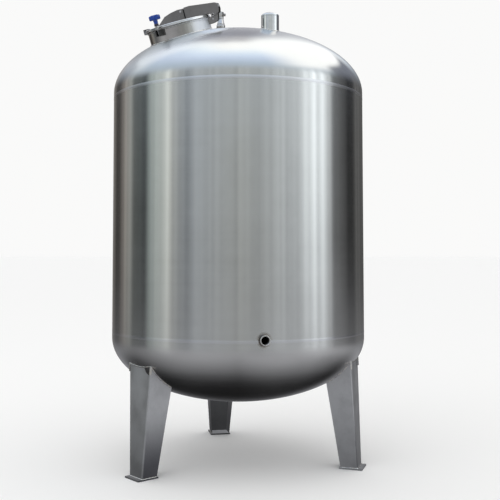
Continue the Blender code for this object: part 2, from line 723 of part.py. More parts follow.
def make_vent():
    """The breather on the dome: ferrule, round nut, tapered body, hexagon and side outlet."""
    base_z = dome_height(math.hypot(VENT_X, VENT_Y))
    at = Matrix.Translation((VENT_X, VENT_Y, base_z))
    tube_top = VENT_NUT_BOTTOM - TOUCH_GAP
    finish(tube("vent_ferrule", VENT_TUBE_RADIUS, VENT_TUBE_BORE, tube_top, VENT_TUBE_BOTTOM,
                SMALL_STEPS, at), STEEL)
    chamfer = VENT_NUT_CHAMFER
    nut = [(0.0, VENT_NUT_TOP), (VENT_NUT_RADIUS - chamfer, VENT_NUT_TOP),
           (VENT_NUT_RADIUS, VENT_NUT_TOP - chamfer), (VENT_NUT_RADIUS, VENT_NUT_BOTTOM + chamfer),
           (VENT_NUT_RADIUS - chamfer, VENT_NUT_BOTTOM), (0.0, VENT_NUT_BOTTOM)]
    finish(turned("vent_nut", nut, SMALL_STEPS, at), STEEL)
    cone_top, cone_foot = VENT_BODY_TOP - VENT_BODY_NECK, VENT_BODY_RADIUS + VENT_BODY_FLARE
    body_bottom = VENT_NUT_TOP + TOUCH_GAP
    body = [(0.0, VENT_BODY_TOP), (VENT_BODY_RADIUS, VENT_BODY_TOP), (VENT_BODY_RADIUS, cone_top),
            (cone_foot, body_bottom), (0.0, body_bottom)]
    finish(turned("vent_body", body, SMALL_STEPS, at), STEEL)
    hexagon = rod("vent_hexagon", VENT_HEX_RADIUS, VENT_HEX_TOP, VENT_BODY_TOP + TOUCH_GAP, 6, at)
    finish(hexagon, STEEL, smooth=False)
    sideways = at @ Matrix.Translation((0.0, 0.0, VENT_OUTLET_Z)) @ Matrix.Rotation(math.pi / 2, 4, "Y")
    outlet = rod("vent_outlet", VENT_OUTLET_RADIUS, VENT_OUTLET_REACH, VENT_HEX_RADIUS + TOUCH_GAP,
                 SMALL_STEPS, sideways)
    finish(outlet, STEEL)
    hole = rod("vent_hole", VENT_TUBE_RADIUS + TOUCH_GAP, CUT_REACH, -CUT_REACH, SMALL_STEPS, at)
    cut(top_head, as_cutter(hole))


make_vent()


def make_pipe():
    """The short capped pipe on the dome."""
    at = Matrix.Translation((PIPE_X, PIPE_Y, 0.0))
    inside_z = dome_height(math.hypot(PIPE_X, PIPE_Y) + PIPE_RADIUS) - WALL - PIPE_REACH
    pipe = tube("top_pipe", PIPE_RADIUS, PIPE_RADIUS - PIPE_WALL, PIPE_TOP_Z, inside_z, PIPE_STEPS, at)
    finish(pipe, POLISHED)
    low = PIPE_TOP_Z + TOUCH_GAP
    dome = head_profile(PIPE_RADIUS, PIPE_CAP_RISE, PIPE_CAP_SKIRT, PIPE_CAP_ARC_STEPS)
    cap = [(r, low + h) for r, h in dome] + [(0.0, low)]
    finish(turned("top_pipe_cap", cap, PIPE_STEPS, at), POLISHED)
    hole = rod("pipe_hole", PIPE_RADIUS + TOUCH_GAP, PIPE_TOP_Z, inside_z - CUT_REACH, PIPE_STEPS, at)
    cut(top_head, as_cutter(hole))


make_pipe()


def make_socket():
    """The round socket through the shell, just over the bottom seam."""
    lie = around(SOCKET_AZIMUTH) @ Matrix.Translation((TANK_RADIUS, 0.0, SOCKET_Z))
    lie = lie @ Matrix.Rotation(math.pi / 2, 4, "Y")
    ring = tube("side_socket", SOCKET_RADIUS, SOCKET_BORE, SOCKET_REACH, SOCKET_INSIDE, PIPE_STEPS, lie)
    finish(ring, STEEL)
    hole = as_cutter(rod("socket_hole", SOCKET_RADIUS + TOUCH_GAP, CUT_REACH, -CUT_REACH, PIPE_STEPS, lie))
    cut(tank_shell, hole)
    cut(bottom_head, hole)


make_socket()
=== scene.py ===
import json
from math import atan2, cos, degrees, hypot, pi, radians, sin, sqrt

import bmesh
import bpy
from mathutils import Matrix, Vector

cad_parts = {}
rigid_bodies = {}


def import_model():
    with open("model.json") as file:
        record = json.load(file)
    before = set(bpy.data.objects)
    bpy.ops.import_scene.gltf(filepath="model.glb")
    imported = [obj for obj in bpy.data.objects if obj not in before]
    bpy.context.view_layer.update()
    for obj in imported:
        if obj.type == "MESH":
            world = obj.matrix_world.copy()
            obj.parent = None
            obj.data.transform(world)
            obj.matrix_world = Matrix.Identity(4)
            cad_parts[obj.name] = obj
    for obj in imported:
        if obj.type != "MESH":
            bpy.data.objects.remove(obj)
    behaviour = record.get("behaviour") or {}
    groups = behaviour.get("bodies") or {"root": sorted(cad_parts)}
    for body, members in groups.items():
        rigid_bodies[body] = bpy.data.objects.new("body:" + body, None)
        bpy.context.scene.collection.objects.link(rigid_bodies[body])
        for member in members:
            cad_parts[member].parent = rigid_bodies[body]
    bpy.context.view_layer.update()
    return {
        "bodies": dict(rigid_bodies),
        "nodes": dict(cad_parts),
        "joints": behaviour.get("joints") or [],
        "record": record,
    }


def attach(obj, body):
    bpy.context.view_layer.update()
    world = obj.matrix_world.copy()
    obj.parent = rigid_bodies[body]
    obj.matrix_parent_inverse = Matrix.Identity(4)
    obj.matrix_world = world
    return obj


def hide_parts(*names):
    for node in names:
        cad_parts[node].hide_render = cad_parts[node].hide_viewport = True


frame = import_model()
nodes = frame["nodes"]


# Camera
# It stands where the photograph was taken from, about 4.9 m in front of the tank at chest height
# and turned up a little. The shift only takes in the feet.
CAMERA_DISTANCE = 4.948
CAMERA_HEIGHT = 1.211
CAMERA_TILT = 2.861


def add_object(name, data):
    made = bpy.data.objects.new(name, data)
    bpy.context.scene.collection.objects.link(made)
    return made


camera_data = bpy.data.cameras.new("photo_camera")
camera_data.sensor_width = 36.0
camera_data.lens = 58.79
camera_data.shift_x = 0.0238
camera_data.shift_y = -0.0727
camera = add_object("photo_camera", camera_data)
camera.location = (0.0, -CAMERA_DISTANCE, CAMERA_HEIGHT)
camera.rotation_euler = (radians(90.0 + CAMERA_TILT), 0.0, 0.0)
bpy.context.scene.camera = camera
bpy.context.scene.view_settings.view_transform = "Standard"


# Studio
# A plain pale floor under soft white light. The steel mirrors its surroundings, so what it sees is
# a workshop of soft cards: light and dark walls by direction, a bright roof light and a dim floor.
FLOOR_HALF = 400.0
FLOOR_COLOUR = (0.915, 0.915, 0.91)
BACKGROUND = (0.955, 0.955, 0.95, 1.0)
SOFT_LIGHT = (1.02, 1.02, 1.02, 1.0)
LAMP_SIZE = 6.0
LAMP_POWER = 60.0
LAMP_PLACE = (-3.5, -4.5, 6.0)
LAMP_AIM = (0.0, 0.0, 1.2)
WALL_CARDS = (
    (-180, 0.26), (-158, 0.20), (-146, 0.06), (-136, 0.05), (-126, 0.20), (-119, 0.40), (-112, 0.34),
    (-107, 0.13), (-90, 0.03), (-86, 0.34), (-80, 0.60), (-71, 0.58), (-65, 0.90), (-57, 0.54), (-46, 0.29),
    (-37, 0.54), (-28, 0.46), (22, 0.48), (29, 0.60), (50, 0.66), (56, 0.74), (60, 1.18), (70, 1.36),
    (80, 1.28), (87, 0.95), (94, 0.16), (106, 0.10), (117, 0.02), (127, 0.03), (134, 0.14), (150, 0.09),
    (180, 0.10))
WALL_TINTS = (
    (-180, (1.03, 1.00, 0.95)), (-126, (1.10, 1.00, 0.93)), (-110, (0.97, 1.02, 0.98)),
    (-92, (0.88, 1.04, 1.02)), (-62, (0.99, 1.02, 0.98)), (-46, (0.92, 1.00, 1.08)),
    (0, (0.98, 1.02, 1.00)), (45, (0.95, 1.01, 1.05)), (80, (0.95, 1.01, 1.06)), (125, (1.0, 1.0, 1.0)),
    (180, (1.02, 1.0, 0.98)))
WALL_RISE = ((-0.12, 0.74), (-0.05, 0.84), (0.04, 1.0), (0.22, 1.24), (0.40, 1.40))
WALL_FALL = ((-180, 0.0), (-68, 0.0), (-60, 1.0), (-48, 1.0), (-40, 0.3), (-25, 0.0), (35, 0.0), (56, 1.0),
             (90, 1.0), (98, 0.0), (180, 0.0))
WALL_FALL_LIGHT = ((-0.12, 0.78), (0.01, 0.74), (0.07, 0.86), (0.16, 1.0), (0.40, 1.04))
SKY = ((0, (0.50, 0.56, 0.62)), (20, (0.60, 0.68, 0.77)), (35, (0.68, 0.82, 1.00)),
       (48, (0.86, 1.00, 1.28)), (60, (1.06, 1.24, 1.52)), (72, (1.35, 1.48, 1.62)),
       (82, (1.65, 1.65, 1.65)))
SKY_CARD = ((-180, 0.0), (-164, 0.0), (-146, 0.45), (-116, 0.45), (-96, 0.0), (30, 0.0), (60, 0.8),
            (75, 1.0), (150, 1.0), (168, 0.8), (176, 0.0))
SKY_CARD_LIGHT = (1.62, 1.64, 1.66, 1.0)
CORNER_CARD = ((-172, 0.2), (-155, 0.5), (-128, 0.5), (-112, 0.0), (94, 0.0), (104, 0.9), (112, 1.0),
               (144, 1.0), (158, 0.0))
CORNER_CARD_LIGHT = (0.26, 0.28, 0.34, 1.0)
BACK_CARD = ((-180, 1.0), (-158, 0.9), (-148, 0.5), (-136, 0.0), (156, 0.0), (167, 0.7), (174, 1.0),
             (180, 1.0))
BACK_CARD_LIGHT = ((0.0, (0.66, 0.68, 0.72)), (0.45, (0.62, 0.63, 0.68)), (0.72, (0.42, 0.43, 0.49)),
                   (0.85, (0.40, 0.41, 0.48)), (0.89, (0.70, 0.70, 0.75)), (0.96, (0.75, 0.74, 0.78)))
FAR_FLOOR = ((-180, 0.30), (-150, 0.26), (-110, 0.25), (-86, 0.34), (-68, 0.52), (-52, 0.44),
             (-33, 0.48), (0, 0.43), (18, 0.40), (36, 0.50), (72, 0.68), (91, 0.58), (106, 0.50),
             (130, 0.36), (180, 0.34))
NEAR_FLOOR = ((-1.0, 0.005), (-0.35, 0.01), (-0.15, 0.035), (0.05, 0.08), (0.35, 0.21), (0.65, 0.32),
              (0.90, 0.44), (1.0, 0.47))
FLOOR_TINT = (0.985, 0.99, 1.06, 1.0)


def node(tree, kind, sockets=None, **settings):
    """Add a shader node. A socket is given a plain value, or is linked to another node's output."""
    made = tree.nodes.new("ShaderNode" + kind)
    for name, value in settings.items():
        setattr(made, name, value)
    for socket, value in (sockets or {}).items():
        if isinstance(value, bpy.types.NodeSocket):
            tree.links.new(value, made.inputs[socket])
        else:
            made.inputs[socket].default_value = value
    return made


def maths(tree, operation, *values):
    return node(tree, "Math", dict(enumerate(values)), operation=operation).outputs[0]


def ramp(tree, factor, stops):
    """A colour ramp over 0 to 1, from (place, brightness) or (place, colour) stops."""
    made = node(tree, "ValToRGB", {0: factor})
    marks = made.color_ramp.elements
    while len(marks) > 1:
        marks.remove(marks[-1])
    for index, (place, look) in enumerate(stops):
        mark = marks[0] if index == 0 else marks.new(place)
        mark.position = place
        mark.color = (*look, 1.0) if isinstance(look, tuple) else (look, look, look, 1.0)
    return made.outputs["Color"]


def blend(tree, share, low, high, kind="MIX"):
    """Mix two colours by a share."""
    made = node(tree, "Mix", {0: share, 6: low, 7: high}, data_type="RGBA", blend_type=kind)
    return made.outputs[2]


def times(tree, one, two):
    return blend(tree, 1.0, one, two, "MULTIPLY")


def rescaled(tree, value, low, high, **settings):
    """A value's place between two ends, from 0 to 1."""
    return node(tree, "MapRange", {0: value, 1: low, 2: high}, **settings).outputs[0]


def eased_share(tree, value, low, high):
    """As rescaled, with soft ends."""
    return rescaled(tree, value, low, high, interpolation_type="SMOOTHSTEP")


def by_azimuth(tree, turn, stops):
    return ramp(tree, turn, [(0.5 + azimuth / 360.0, look) for azimuth, look in stops])


def by_height(tree, height, stops):
    low, high = stops[0][0], stops[-1][0]
    return ramp(tree, rescaled(tree, height, low, high), [((z - low) / (high - low), b) for z, b in stops])


def wall_light(tree, azimuth, turn, height):
    """The walls: cards side by side, brighter upwards, broken into fine upright slats."""
    wall = times(tree, by_azimuth(tree, turn, WALL_CARDS), by_azimuth(tree, turn, WALL_TINTS))
    wall = times(tree, wall, by_height(tree, height, WALL_RISE))
    wall = blend(tree, by_azimuth(tree, turn, WALL_FALL), wall,
                 times(tree, wall, by_height(tree, height, WALL_FALL_LIGHT)))
    slats = node(tree, "TexNoise", {"W": maths(tree, "MULTIPLY", azimuth, 11.0), "Scale": 1.0, "Detail": 4.0,
                                    "Roughness": 0.7}, noise_dimensions="1D").outputs[0]
    return times(tree, wall, ramp(tree, slats, [(0.30, 0.66), (0.50, 1.0), (0.70, 1.32)]))


def sky_light(tree, turn, height):
    """The roof: blue daylight that whitens overhead, a white card, a dark corner, a grey card behind."""
    lift = maths(tree, "DIVIDE", maths(tree, "ARCSINE", height), pi / 2)
    sky = ramp(tree, lift, [(place / 90.0, look) for place, look in SKY])
    for card, light, low, high in ((SKY_CARD, SKY_CARD_LIGHT, 0.34, 0.58),
                                   (CORNER_CARD, CORNER_CARD_LIGHT, 0.60, 0.52),
                                   (BACK_CARD, ramp(tree, height, BACK_CARD_LIGHT), 0.985, 0.965)):
        share = maths(tree, "MULTIPLY", by_azimuth(tree, turn, card), eased_share(tree, height, low, high))
        sky = blend(tree, share, sky, light)
    return sky


def floor_light(tree, turn, side, front, height):
    """The floor: half bright far off, brighter to the front and right, and dark under the tank."""
    lit = maths(tree, "MULTIPLY_ADD", maths(tree, "ABSOLUTE", side), 0.6, front)
    lit = maths(tree, "MULTIPLY_ADD", maths(tree, "MAXIMUM", side, 0.0), 0.32, lit)
    near = ramp(tree, rescaled(tree, lit, -1.0, 1.0), [(0.5 + p / 2, b) for p, b in NEAR_FLOOR])
    floor = blend(tree, eased_share(tree, height, -0.26, -0.58), by_azimuth(tree, turn, FAR_FLOOR), near)
    return times(tree, floor, FLOOR_TINT)


def studio_light(tree):
    """What the steel sees, by direction."""
    direction = node(tree, "TexCoord").outputs["Generated"]
    parts = node(tree, "SeparateXYZ", {0: direction}).outputs
    front = maths(tree, "MULTIPLY", parts[1], -1.0)
    azimuth = maths(tree, "ARCTAN2", parts[0], front)
    turn = maths(tree, "MULTIPLY_ADD", azimuth, 0.5 / pi, 0.5)
    wall = wall_light(tree, azimuth, turn, parts[2])
    sky = sky_light(tree, turn, parts[2])
    upper = blend(tree, eased_share(tree, parts[2], 0.18, 0.46), wall, sky)
    floor = floor_light(tree, turn, parts[0], front, parts[2])
    return blend(tree, rescaled(tree, parts[2], -0.04, -0.24), upper, floor)


def make_world():
    world = bpy.data.worlds.new("studio")
    bpy.context.scene.world = world
    world.use_nodes = True
    tree = world.node_tree
    tree.nodes.clear()
    path = node(tree, "LightPath").outputs
    seen = blend(tree, path["Is Glossy Ray"], SOFT_LIGHT, studio_light(tree))
    seen = blend(tree, path["Is Camera Ray"], seen, BACKGROUND)
    light = node(tree, "Background", {"Color": seen})
    tree.links.new(light.outputs[0], tree.nodes.new("ShaderNodeOutputWorld").inputs[0])


def add_piece(name, shape, smooth_angle=35.0):
    """Turn a finished mesh into a piece, with its faces outwards and its round faces smooth."""
    bmesh.ops.recalc_face_normals(shape, faces=shape.faces)
    mesh = bpy.data.meshes.new(name)
    shape.to_mesh(mesh)
    shape.free()
    mesh.shade_smooth()
    mesh.set_sharp_from_angle(angle=radians(smooth_angle))
    return add_object(name, mesh)


def new_finish(name, colour, roughness, metallic=1.0):
    """A plain material and its tree, still to be given its grain."""
    material = bpy.data.materials.new(name)
    material.use_nodes = True
    shader = material.node_tree.nodes["Principled BSDF"]
    shader.inputs["Base Color"].default_value = (*colour, 1.0)
    shader.inputs["Metallic"].default_value = metallic
    shader.inputs["Roughness"].default_value = roughness
    return material, material.node_tree


make_world()
grid = bmesh.new()
bmesh.ops.create_grid(grid, x_segments=1, y_segments=1, size=FLOOR_HALF)
floor = add_piece("studio_floor", grid)
floor_paint, floor_tree = new_finish("floor_paint", FLOOR_COLOUR, 0.9, 0.0)
floor_tree.nodes["Principled BSDF"].inputs["Specular IOR Level"].default_value = 0.1
floor.data.materials.append(floor_paint)
soft_light = bpy.data.lights.new("soft_lamp", "AREA")
soft_light.size = LAMP_SIZE
soft_light.energy = LAMP_POWER
lamp = add_object("soft_lamp", soft_light)
lamp.location = LAMP_PLACE
lamp.rotation_euler = (Vector(LAMP_AIM) - Vector(LAMP_PLACE)).to_track_quat("-Z", "Y").to_euler()
for unseen in (floor, lamp):
    unseen.visible_glossy = False


# Shell
# One course of 3 mm stainless sheet, rolled round and closed with an upright weld at the back.
# It is brushed round and round, so it blurs what it mirrors up and down, and keeps upright streaks.
TANK_RADIUS = 0.75
WALL = 0.003
BOTTOM_SEAM_Z = 0.763
TOP_SEAM_Z = 2.137
SEAM_GAP = 0.0003
SHELL_STEPS = 256
SHELL_ROWS = 24
SHEET_COLOUR = (0.62, 0.62, 0.60)
PAINTED_HIGHLIGHT_COLOUR = (0.84, 0.85, 0.87, 1.0)
SOCKET_AZIMUTH = 10.3
SOCKET_Z = 0.7725
SOCKET_RADIUS = 0.0272
BRUSH_LINES = 900.0
SMUDGE_SIZE = 2.2
HEAT_TINTS = ((0.0, (1.0, 1.0, 1.0)), (0.5, (0.80, 0.76, 0.71)), (1.0, (0.50, 0.46, 0.43)))


def around(azimuth):
    """Local +X points outwards at an azimuth counted from the front."""
    return Matrix.Rotation(radians(azimuth - 90.0), 4, "Z")


def placed(frame, x, y, z, turn, axis):
    """A frame moved within another, and turned about one of its own axes."""
    return frame @ Matrix.Translation((x, y, z)) @ Matrix.Rotation(turn, 4, axis)


def spread(start, end, steps):
    """Values spread evenly from a start to an end, both in."""
    return [start + (end - start) * i / steps for i in range(steps + 1)]


def arc(radius, height, wide, high, start, end, steps):
    """An arc of a section about a middle, as (radius, height) points."""
    return [(radius + wide * cos(t), height + high * sin(t)) for t in spread(start, end, steps)]


def whole_turn(steps):
    """The angles of one turn, without its end."""
    return spread(0.0, 2.0 * pi, steps)[:-1]


def polar(radius, turn, height=0.0):
    return Vector((radius * cos(turn), radius * sin(turn), height))


def ring(place, radius, height, steps):
    """Points round local Z. The radius is a number, or a function of the turn."""
    reach = radius if callable(radius) else lambda turn: radius
    return [place @ polar(reach(turn), turn, height) for turn in whole_turn(steps)]


def skinned(name, rings, smooth_angle=35.0, endless=False, capped=False):
    """Skin a row of rings of points into a piece. A ring of one point closes into a middle."""
    shape = bmesh.new()
    rows = [[shape.verts.new(point) for point in points] for points in rings]
    for one, two in zip(rows, rows[1:] + rows[:1] if endless else rows[1:]):
        steps = max(len(one), len(two))
        for i in range(steps if steps > 1 else 0):
            j = (i + 1) % steps
            corners = (one[i % len(one)], one[j % len(one)], two[j % len(two)], two[i % len(two)])
            shape.faces.new(tuple(dict.fromkeys(corners)))
    for row in (rows[0], rows[-1]) if capped else ():
        shape.faces.new(row)
    return add_piece(name, shape, smooth_angle)


def turned(name, profile, steps, place=Matrix.Identity(4)):
    """Turn a closed (radius, height) profile about local Z. Points on the axis close into a middle."""
    return skinned(name, [ring(place, r, z, 1 if r < 1e-7 else steps) for r, z in profile], endless=True)


def cut_away(piece, cutter):
    """Cut a shape out of a piece for good, and take the cutter away."""
    cut = piece.modifiers.new("cut", "BOOLEAN")
    cut.operation = "DIFFERENCE"
    cut.solver = "EXACT"
    cut.object = cutter
    bpy.context.view_layer.update()
    mesh = bpy.data.meshes.new_from_object(piece.evaluated_get(bpy.context.evaluated_depsgraph_get()))
    piece.modifiers.clear()
    piece.data = mesh
    mesh.name = piece.name
    bpy.data.objects.remove(cutter, do_unlink=True)


def bore(piece, radius, low, high, place):
    """Drill a round hole through a piece."""
    cut_away(piece, turned("drill", [(0.0, high), (radius, high), (radius, low), (0.0, low)], 96, place))
    piece.data.set_sharp_from_angle(angle=radians(35.0))


def fit(piece, material, body, slot, *stands_for):
    """Give a piece its finish and its body, and say which nodes it stands for; the slot is not used."""
    piece.data.materials.clear()
    piece.data.materials.append(material)
    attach(piece, body)
    if stands_for:
        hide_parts(*stands_for)
    return piece


def noise(tree, place, scale, detail, **sockets):
    return node(tree, "TexNoise", {"Vector": place, "Scale": scale, "Detail": detail, **sockets}).outputs[0]


def vector_maths(tree, operation, *values):
    """Work on vectors. A length, a distance or a dot product is a number."""
    made = node(tree, "VectorMath", dict(enumerate(values)), operation=operation).outputs
    return made["Value" if operation in ("LENGTH", "DISTANCE", "DOT_PRODUCT") else "Vector"]


def flattened(tree, parts, height=0.0):
    return node(tree, "CombineXYZ", {0: parts[0], 1: parts[1], 2: height}).outputs[0]


def position(tree):
    return node(tree, "NewGeometry").outputs["Position"]


def toned(tree, colour, value, stops):
    """A colour, lightened and darkened by a noise."""
    return times(tree, (*colour, 1.0), ramp(tree, value, stops))


def uneven(tree, value, roughness, less, more):
    """A roughness that follows a noise."""
    sockets = {0: value, 1: 0.3, 2: 0.7, 3: roughness - less, 4: roughness + more}
    return node(tree, "MapRange", sockets).outputs[0]


def dress(material, paint, rough, relief=None, strength=0.0, depth=0.0002):
    """Give a material its paint, its roughness and its fine relief."""
    tree = material.node_tree
    shader = tree.nodes["Principled BSDF"]
    tree.links.new(paint, shader.inputs["Base Color"])
    if rough:
        tree.links.new(rough, shader.inputs["Roughness"])
    if relief:
        bump = node(tree, "Bump", {"Height": relief, "Strength": strength, "Distance": depth})
        tree.links.new(bump.outputs[0], shader.inputs["Normal"])
    return material


def nearness(tree, place, centre, start, width, wander=None):
    """1 within a distance of a point, fading to 0 over a width."""
    share = rescaled(tree, vector_maths(tree, "DISTANCE", place, centre), start, start + width)
    if wander:
        share = maths(tree, "ADD", share, maths(tree, "MULTIPLY_ADD", wander, 0.7, -0.35))
    return eased_share(tree, share, 1.0, 0.0)


def highlight_and_dull(tree, place, paint, rough, highlight_and_matt_patches):
    """Patches of painted highlight and of matt sheet, each as (centre, radius, soft edge, brightening,
    dulling): the brightening paints a highlight into the colour, the dulling raises the roughness.
    """
    for centre, start, width, lift, dulling in highlight_and_matt_patches:
        near = nearness(tree, place, centre, start, width)
        paint = blend(tree, maths(tree, "MULTIPLY", near, lift), paint, PAINTED_HIGHLIGHT_COLOUR)
        rough = maths(tree, "MULTIPLY_ADD", near, dulling, rough)
    return paint, rough


def lathe_brushed(name, colour, roughness, anisotropy, welds=(), highlight_and_matt_patches=()):
    """Sheet brushed in rings about the tank's axis, smudged, and tinted and dulled round its welds,
    each as (centre, radius, soft edge, tint, dulling)."""
    material, tree = new_finish(name, colour, roughness)
    shader = tree.nodes["Principled BSDF"]
    shader.inputs["Anisotropic"].default_value = anisotropy
    shader.inputs["Anisotropic Rotation"].default_value = 0.25
    tangent = node(tree, "Tangent", direction_type="RADIAL", axis="Z")
    tree.links.new(tangent.outputs[0], shader.inputs["Tangent"])
    place = position(tree)
    parts = node(tree, "SeparateXYZ", {0: place}).outputs
    reach = vector_maths(tree, "LENGTH", flattened(tree, parts))
    mark = maths(tree, "MULTIPLY", maths(tree, "SUBTRACT", parts[2], reach), BRUSH_LINES)
    brush = noise(tree, flattened(tree, parts, mark), 1.0, 2.0)
    smudge = noise(tree, place, SMUDGE_SIZE, 6.0, Roughness=0.62)
    tone = ramp(tree, brush, [(0.30, 0.975), (0.70, 1.02)])
    cloud = ramp(tree, smudge, [(0.30, 0.94), (0.52, 1.0), (0.75, 1.04)])
    paint = times(tree, (*colour, 1.0), times(tree, tone, cloud))
    rough = uneven(tree, blend(tree, 0.5, brush, smudge), roughness, 0.03, 0.03)
    speck = noise(tree, place, 130.0, 4.0)
    for centre, start, width, tint, dulling in welds:
        near = nearness(tree, place, centre, start, width, speck)
        heat = ramp(tree, near, HEAT_TINTS)
        paint = blend(tree, maths(tree, "MULTIPLY", near, tint), paint, times(tree, paint, heat))
        rough = maths(tree, "MULTIPLY_ADD", near, dulling, rough)
    paint, rough = highlight_and_dull(tree, place, paint, rough, highlight_and_matt_patches)
    return dress(material, paint, rough, brush, 0.03, 0.0003)


# The side socket's own frame: its middle on the shell, with Z outwards.
SOCKET = placed(around(SOCKET_AZIMUTH), TANK_RADIUS, 0.0, SOCKET_Z, pi / 2, "Y")
socket_heat = (tuple(SOCKET.translation), SOCKET_RADIUS, 0.026, 1.0, 0.12)
satin_sheet = lathe_brushed("satin_sheet", SHEET_COLOUR, 0.19, 0.92, [socket_heat])
rim_top, rim_low = TOP_SEAM_Z - SEAM_GAP, BOTTOM_SEAM_Z + SEAM_GAP
shell_line = [(TANK_RADIUS, z) for z in spread(rim_top, rim_low, SHELL_ROWS)]
shell = turned("shell_sheet", shell_line + [(TANK_RADIUS - WALL, rim_low), (TANK_RADIUS - WALL, rim_top)],
               SHELL_STEPS)
bore(shell, SOCKET_RADIUS + SEAM_GAP, -0.05, 0.05, SOCKET)
fit(shell, satin_sheet, "tank", "satin_steel", "tank_shell")


# Dished heads
# Two pressed and spun ends of the same sheet, half as deep as they are wide, on a short straight
# skirt. The top one is holed for the manway, the breather and the pipe.
HEAD_BULGE = TANK_RADIUS / 2
HEAD_SKIRT = 0.036
HEAD_ROWS = 40
PIPE_X, PIPE_Y = 0.182, -0.360
PIPE_RADIUS = 0.0508
VENT_X, VENT_Y = -0.104, -0.100
VENT_TUBE_RADIUS = 0.018
NECK_RADIUS = 0.182
PIN_U, PIN_W = 0.2195, -0.0115
LEG_AZIMUTHS = {"front_left": -49.2, "front_right": 70.8, "rear": 190.8}
joints = {joint["name"]: joint for joint in frame["joints"]}


def manway_frame():
    """The manway's frame, from its joints: X to the hinge, Z along its axis, 0 at the lid's top."""
    across = Vector(joints["lid_hinge"]["axis"]).normalized()
    axis = Vector(joints["near_clamp_turn"]["axis"]).normalized()
    to_hinge = across.cross(axis)
    turn = Matrix((to_hinge, across, axis)).transposed()
    middle = Vector(joints["lid_hinge"]["pos_m"]) - to_hinge * PIN_U - axis * PIN_W
    return Matrix.Translation(middle) @ turn.to_4x4()


def on_manway(x, y, z):
    return tuple(MANWAY @ Vector((x, y, z)))


def head_points(radius, bulge):
    """A head's section as (radius, height over its seam), from its middle to its rim."""
    return arc(0.0, HEAD_SKIRT, radius, bulge, pi / 2, 0.0, HEAD_ROWS) + [(radius, 0.0)]


def make_head(name, rim, side):
    outer = head_points(TANK_RADIUS, HEAD_BULGE)
    inner = head_points(TANK_RADIUS - WALL, HEAD_BULGE - WALL)
    profile = [(r, rim + side * h) for r, h in outer + inner[::-1]]
    return turned(name, profile, SHELL_STEPS)


def head_height(x, y):
    """How far a head's outer face stands from its seam."""
    share = (x * x + y * y) / TANK_RADIUS ** 2
    return HEAD_SKIRT + HEAD_BULGE * sqrt(max(0.0, 1.0 - share))


def on_dome(x, y):
    return Vector((x, y, TOP_SEAM_Z + head_height(x, y)))


MANWAY = manway_frame()
PIPE = Matrix.Translation((PIPE_X, PIPE_Y, 0.0))
VENT = Matrix.Translation(on_dome(VENT_X, VENT_Y))
neck_middle = on_manway(0.0, 0.0, -0.06)
# On the dome by the hinge the sheet is brightened as a painted highlight and dulled; round the neck it is
# only dulled.
spun_sheet = lathe_brushed("spun_sheet", SHEET_COLOUR, 0.15, 0.88,
                           [(neck_middle, NECK_RADIUS, 0.020, 0.5, 0.0),
                            (tuple(VENT.translation), VENT_TUBE_RADIUS, 0.014, 0.5, 0.10),
                            (tuple(on_dome(PIPE_X, PIPE_Y)), PIPE_RADIUS, 0.016, 0.4, 0.10)],
                           [(neck_middle, NECK_RADIUS + 0.030, 0.190, 0.0, 0.38),
                            (on_manway(0.220, -0.150, -0.100), 0.030, 0.080, 1.0, 0.28)])
top_dish = make_head("top_dish", TOP_SEAM_Z, 1)
bore(top_dish, NECK_RADIUS + SEAM_GAP, -0.2, 0.1, MANWAY)
bore(top_dish, PIPE_RADIUS + SEAM_GAP, 2.2, 2.6, PIPE)
bore(top_dish, VENT_TUBE_RADIUS + SEAM_GAP, -0.05, 0.05, VENT)
fit(top_dish, spun_sheet, "tank", "satin_steel", "top_head")
leg_heat = [(tuple(around(azimuth) @ Vector((0.655, 0.0, 0.50))), 0.06, 0.10, 0.5, 0.14)
            for azimuth in LEG_AZIMUTHS.values()]
pressed_sheet = lathe_brushed("pressed_sheet", SHEET_COLOUR, 0.21, 0.90, [socket_heat] + leg_heat)
bottom_dish = make_head("bottom_dish", BOTTOM_SEAM_Z, -1)
bore(bottom_dish, SOCKET_RADIUS + SEAM_GAP, -0.05, 0.05, SOCKET)
fit(bottom_dish, pressed_sheet, "tank", "satin_steel", "bottom_head")


# Weld beads
# Every joint is closed with a bead of weld metal. The two seams and the shell's upright seam are
# ground nearly flush and buffed, and the rest are left as laid, in small overlapping ripples.
SEAM_STEPS = 12 * SHELL_STEPS
SEAM_WIDTH = 0.0165
TOP_SEAM_RISE = 0.0006
LOW_SEAM_RISE = 0.0003
SOCKET_CLEAR = 2.3
BEAD_RIPPLE = 0.005
LAID_BEAD = arc(0.0, 0.0, 1.0, 1.0, 0.0, 2.0 * pi, 10)[:-1]
GROUND_EDGE = 0.22
GROUND_BEAD = [(x, GROUND_EDGE + (1.0 - GROUND_EDGE) * (1.0 + cos(pi * x)) / 2) for x in spread(1.0, -1.0, 8)]
GROUND_BEAD += [(-1.01, -0.6), (1.01, -0.6)]


def weld_metal(name, colour, roughness):
    """Bright weld metal, straw and blue in places from the heat."""
    material, tree = new_finish(name, colour, roughness)
    cloud = noise(tree, position(tree), 38.0, 4.0)
    paint = toned(tree, colour, cloud, [(0.30, (0.62, 0.60, 0.62)), (0.50, (1.0, 0.98, 0.94)),
                                        (0.72, (0.90, 0.84, 0.74))])
    return dress(material, paint, uneven(tree, cloud, roughness, 0.06, 0.08))


bright_weld = weld_metal("bright_weld", (0.70, 0.70, 0.69), 0.24)
# The socket's weld is darkened as painted shade round the ring.
dark_weld = weld_metal("dark_weld", (0.26, 0.24, 0.22), 0.38)
# The seam welds are lighter than the sheet, partly as their ground metal and partly as a painted highlight
# along each seam.
ground_weld_highlight = lathe_brushed("ground_weld_highlight", (0.72, 0.72, 0.72), 0.30, 0.85)
flush_weld_highlight = lathe_brushed("flush_weld_highlight", (0.65, 0.65, 0.65), 0.22, 0.90)


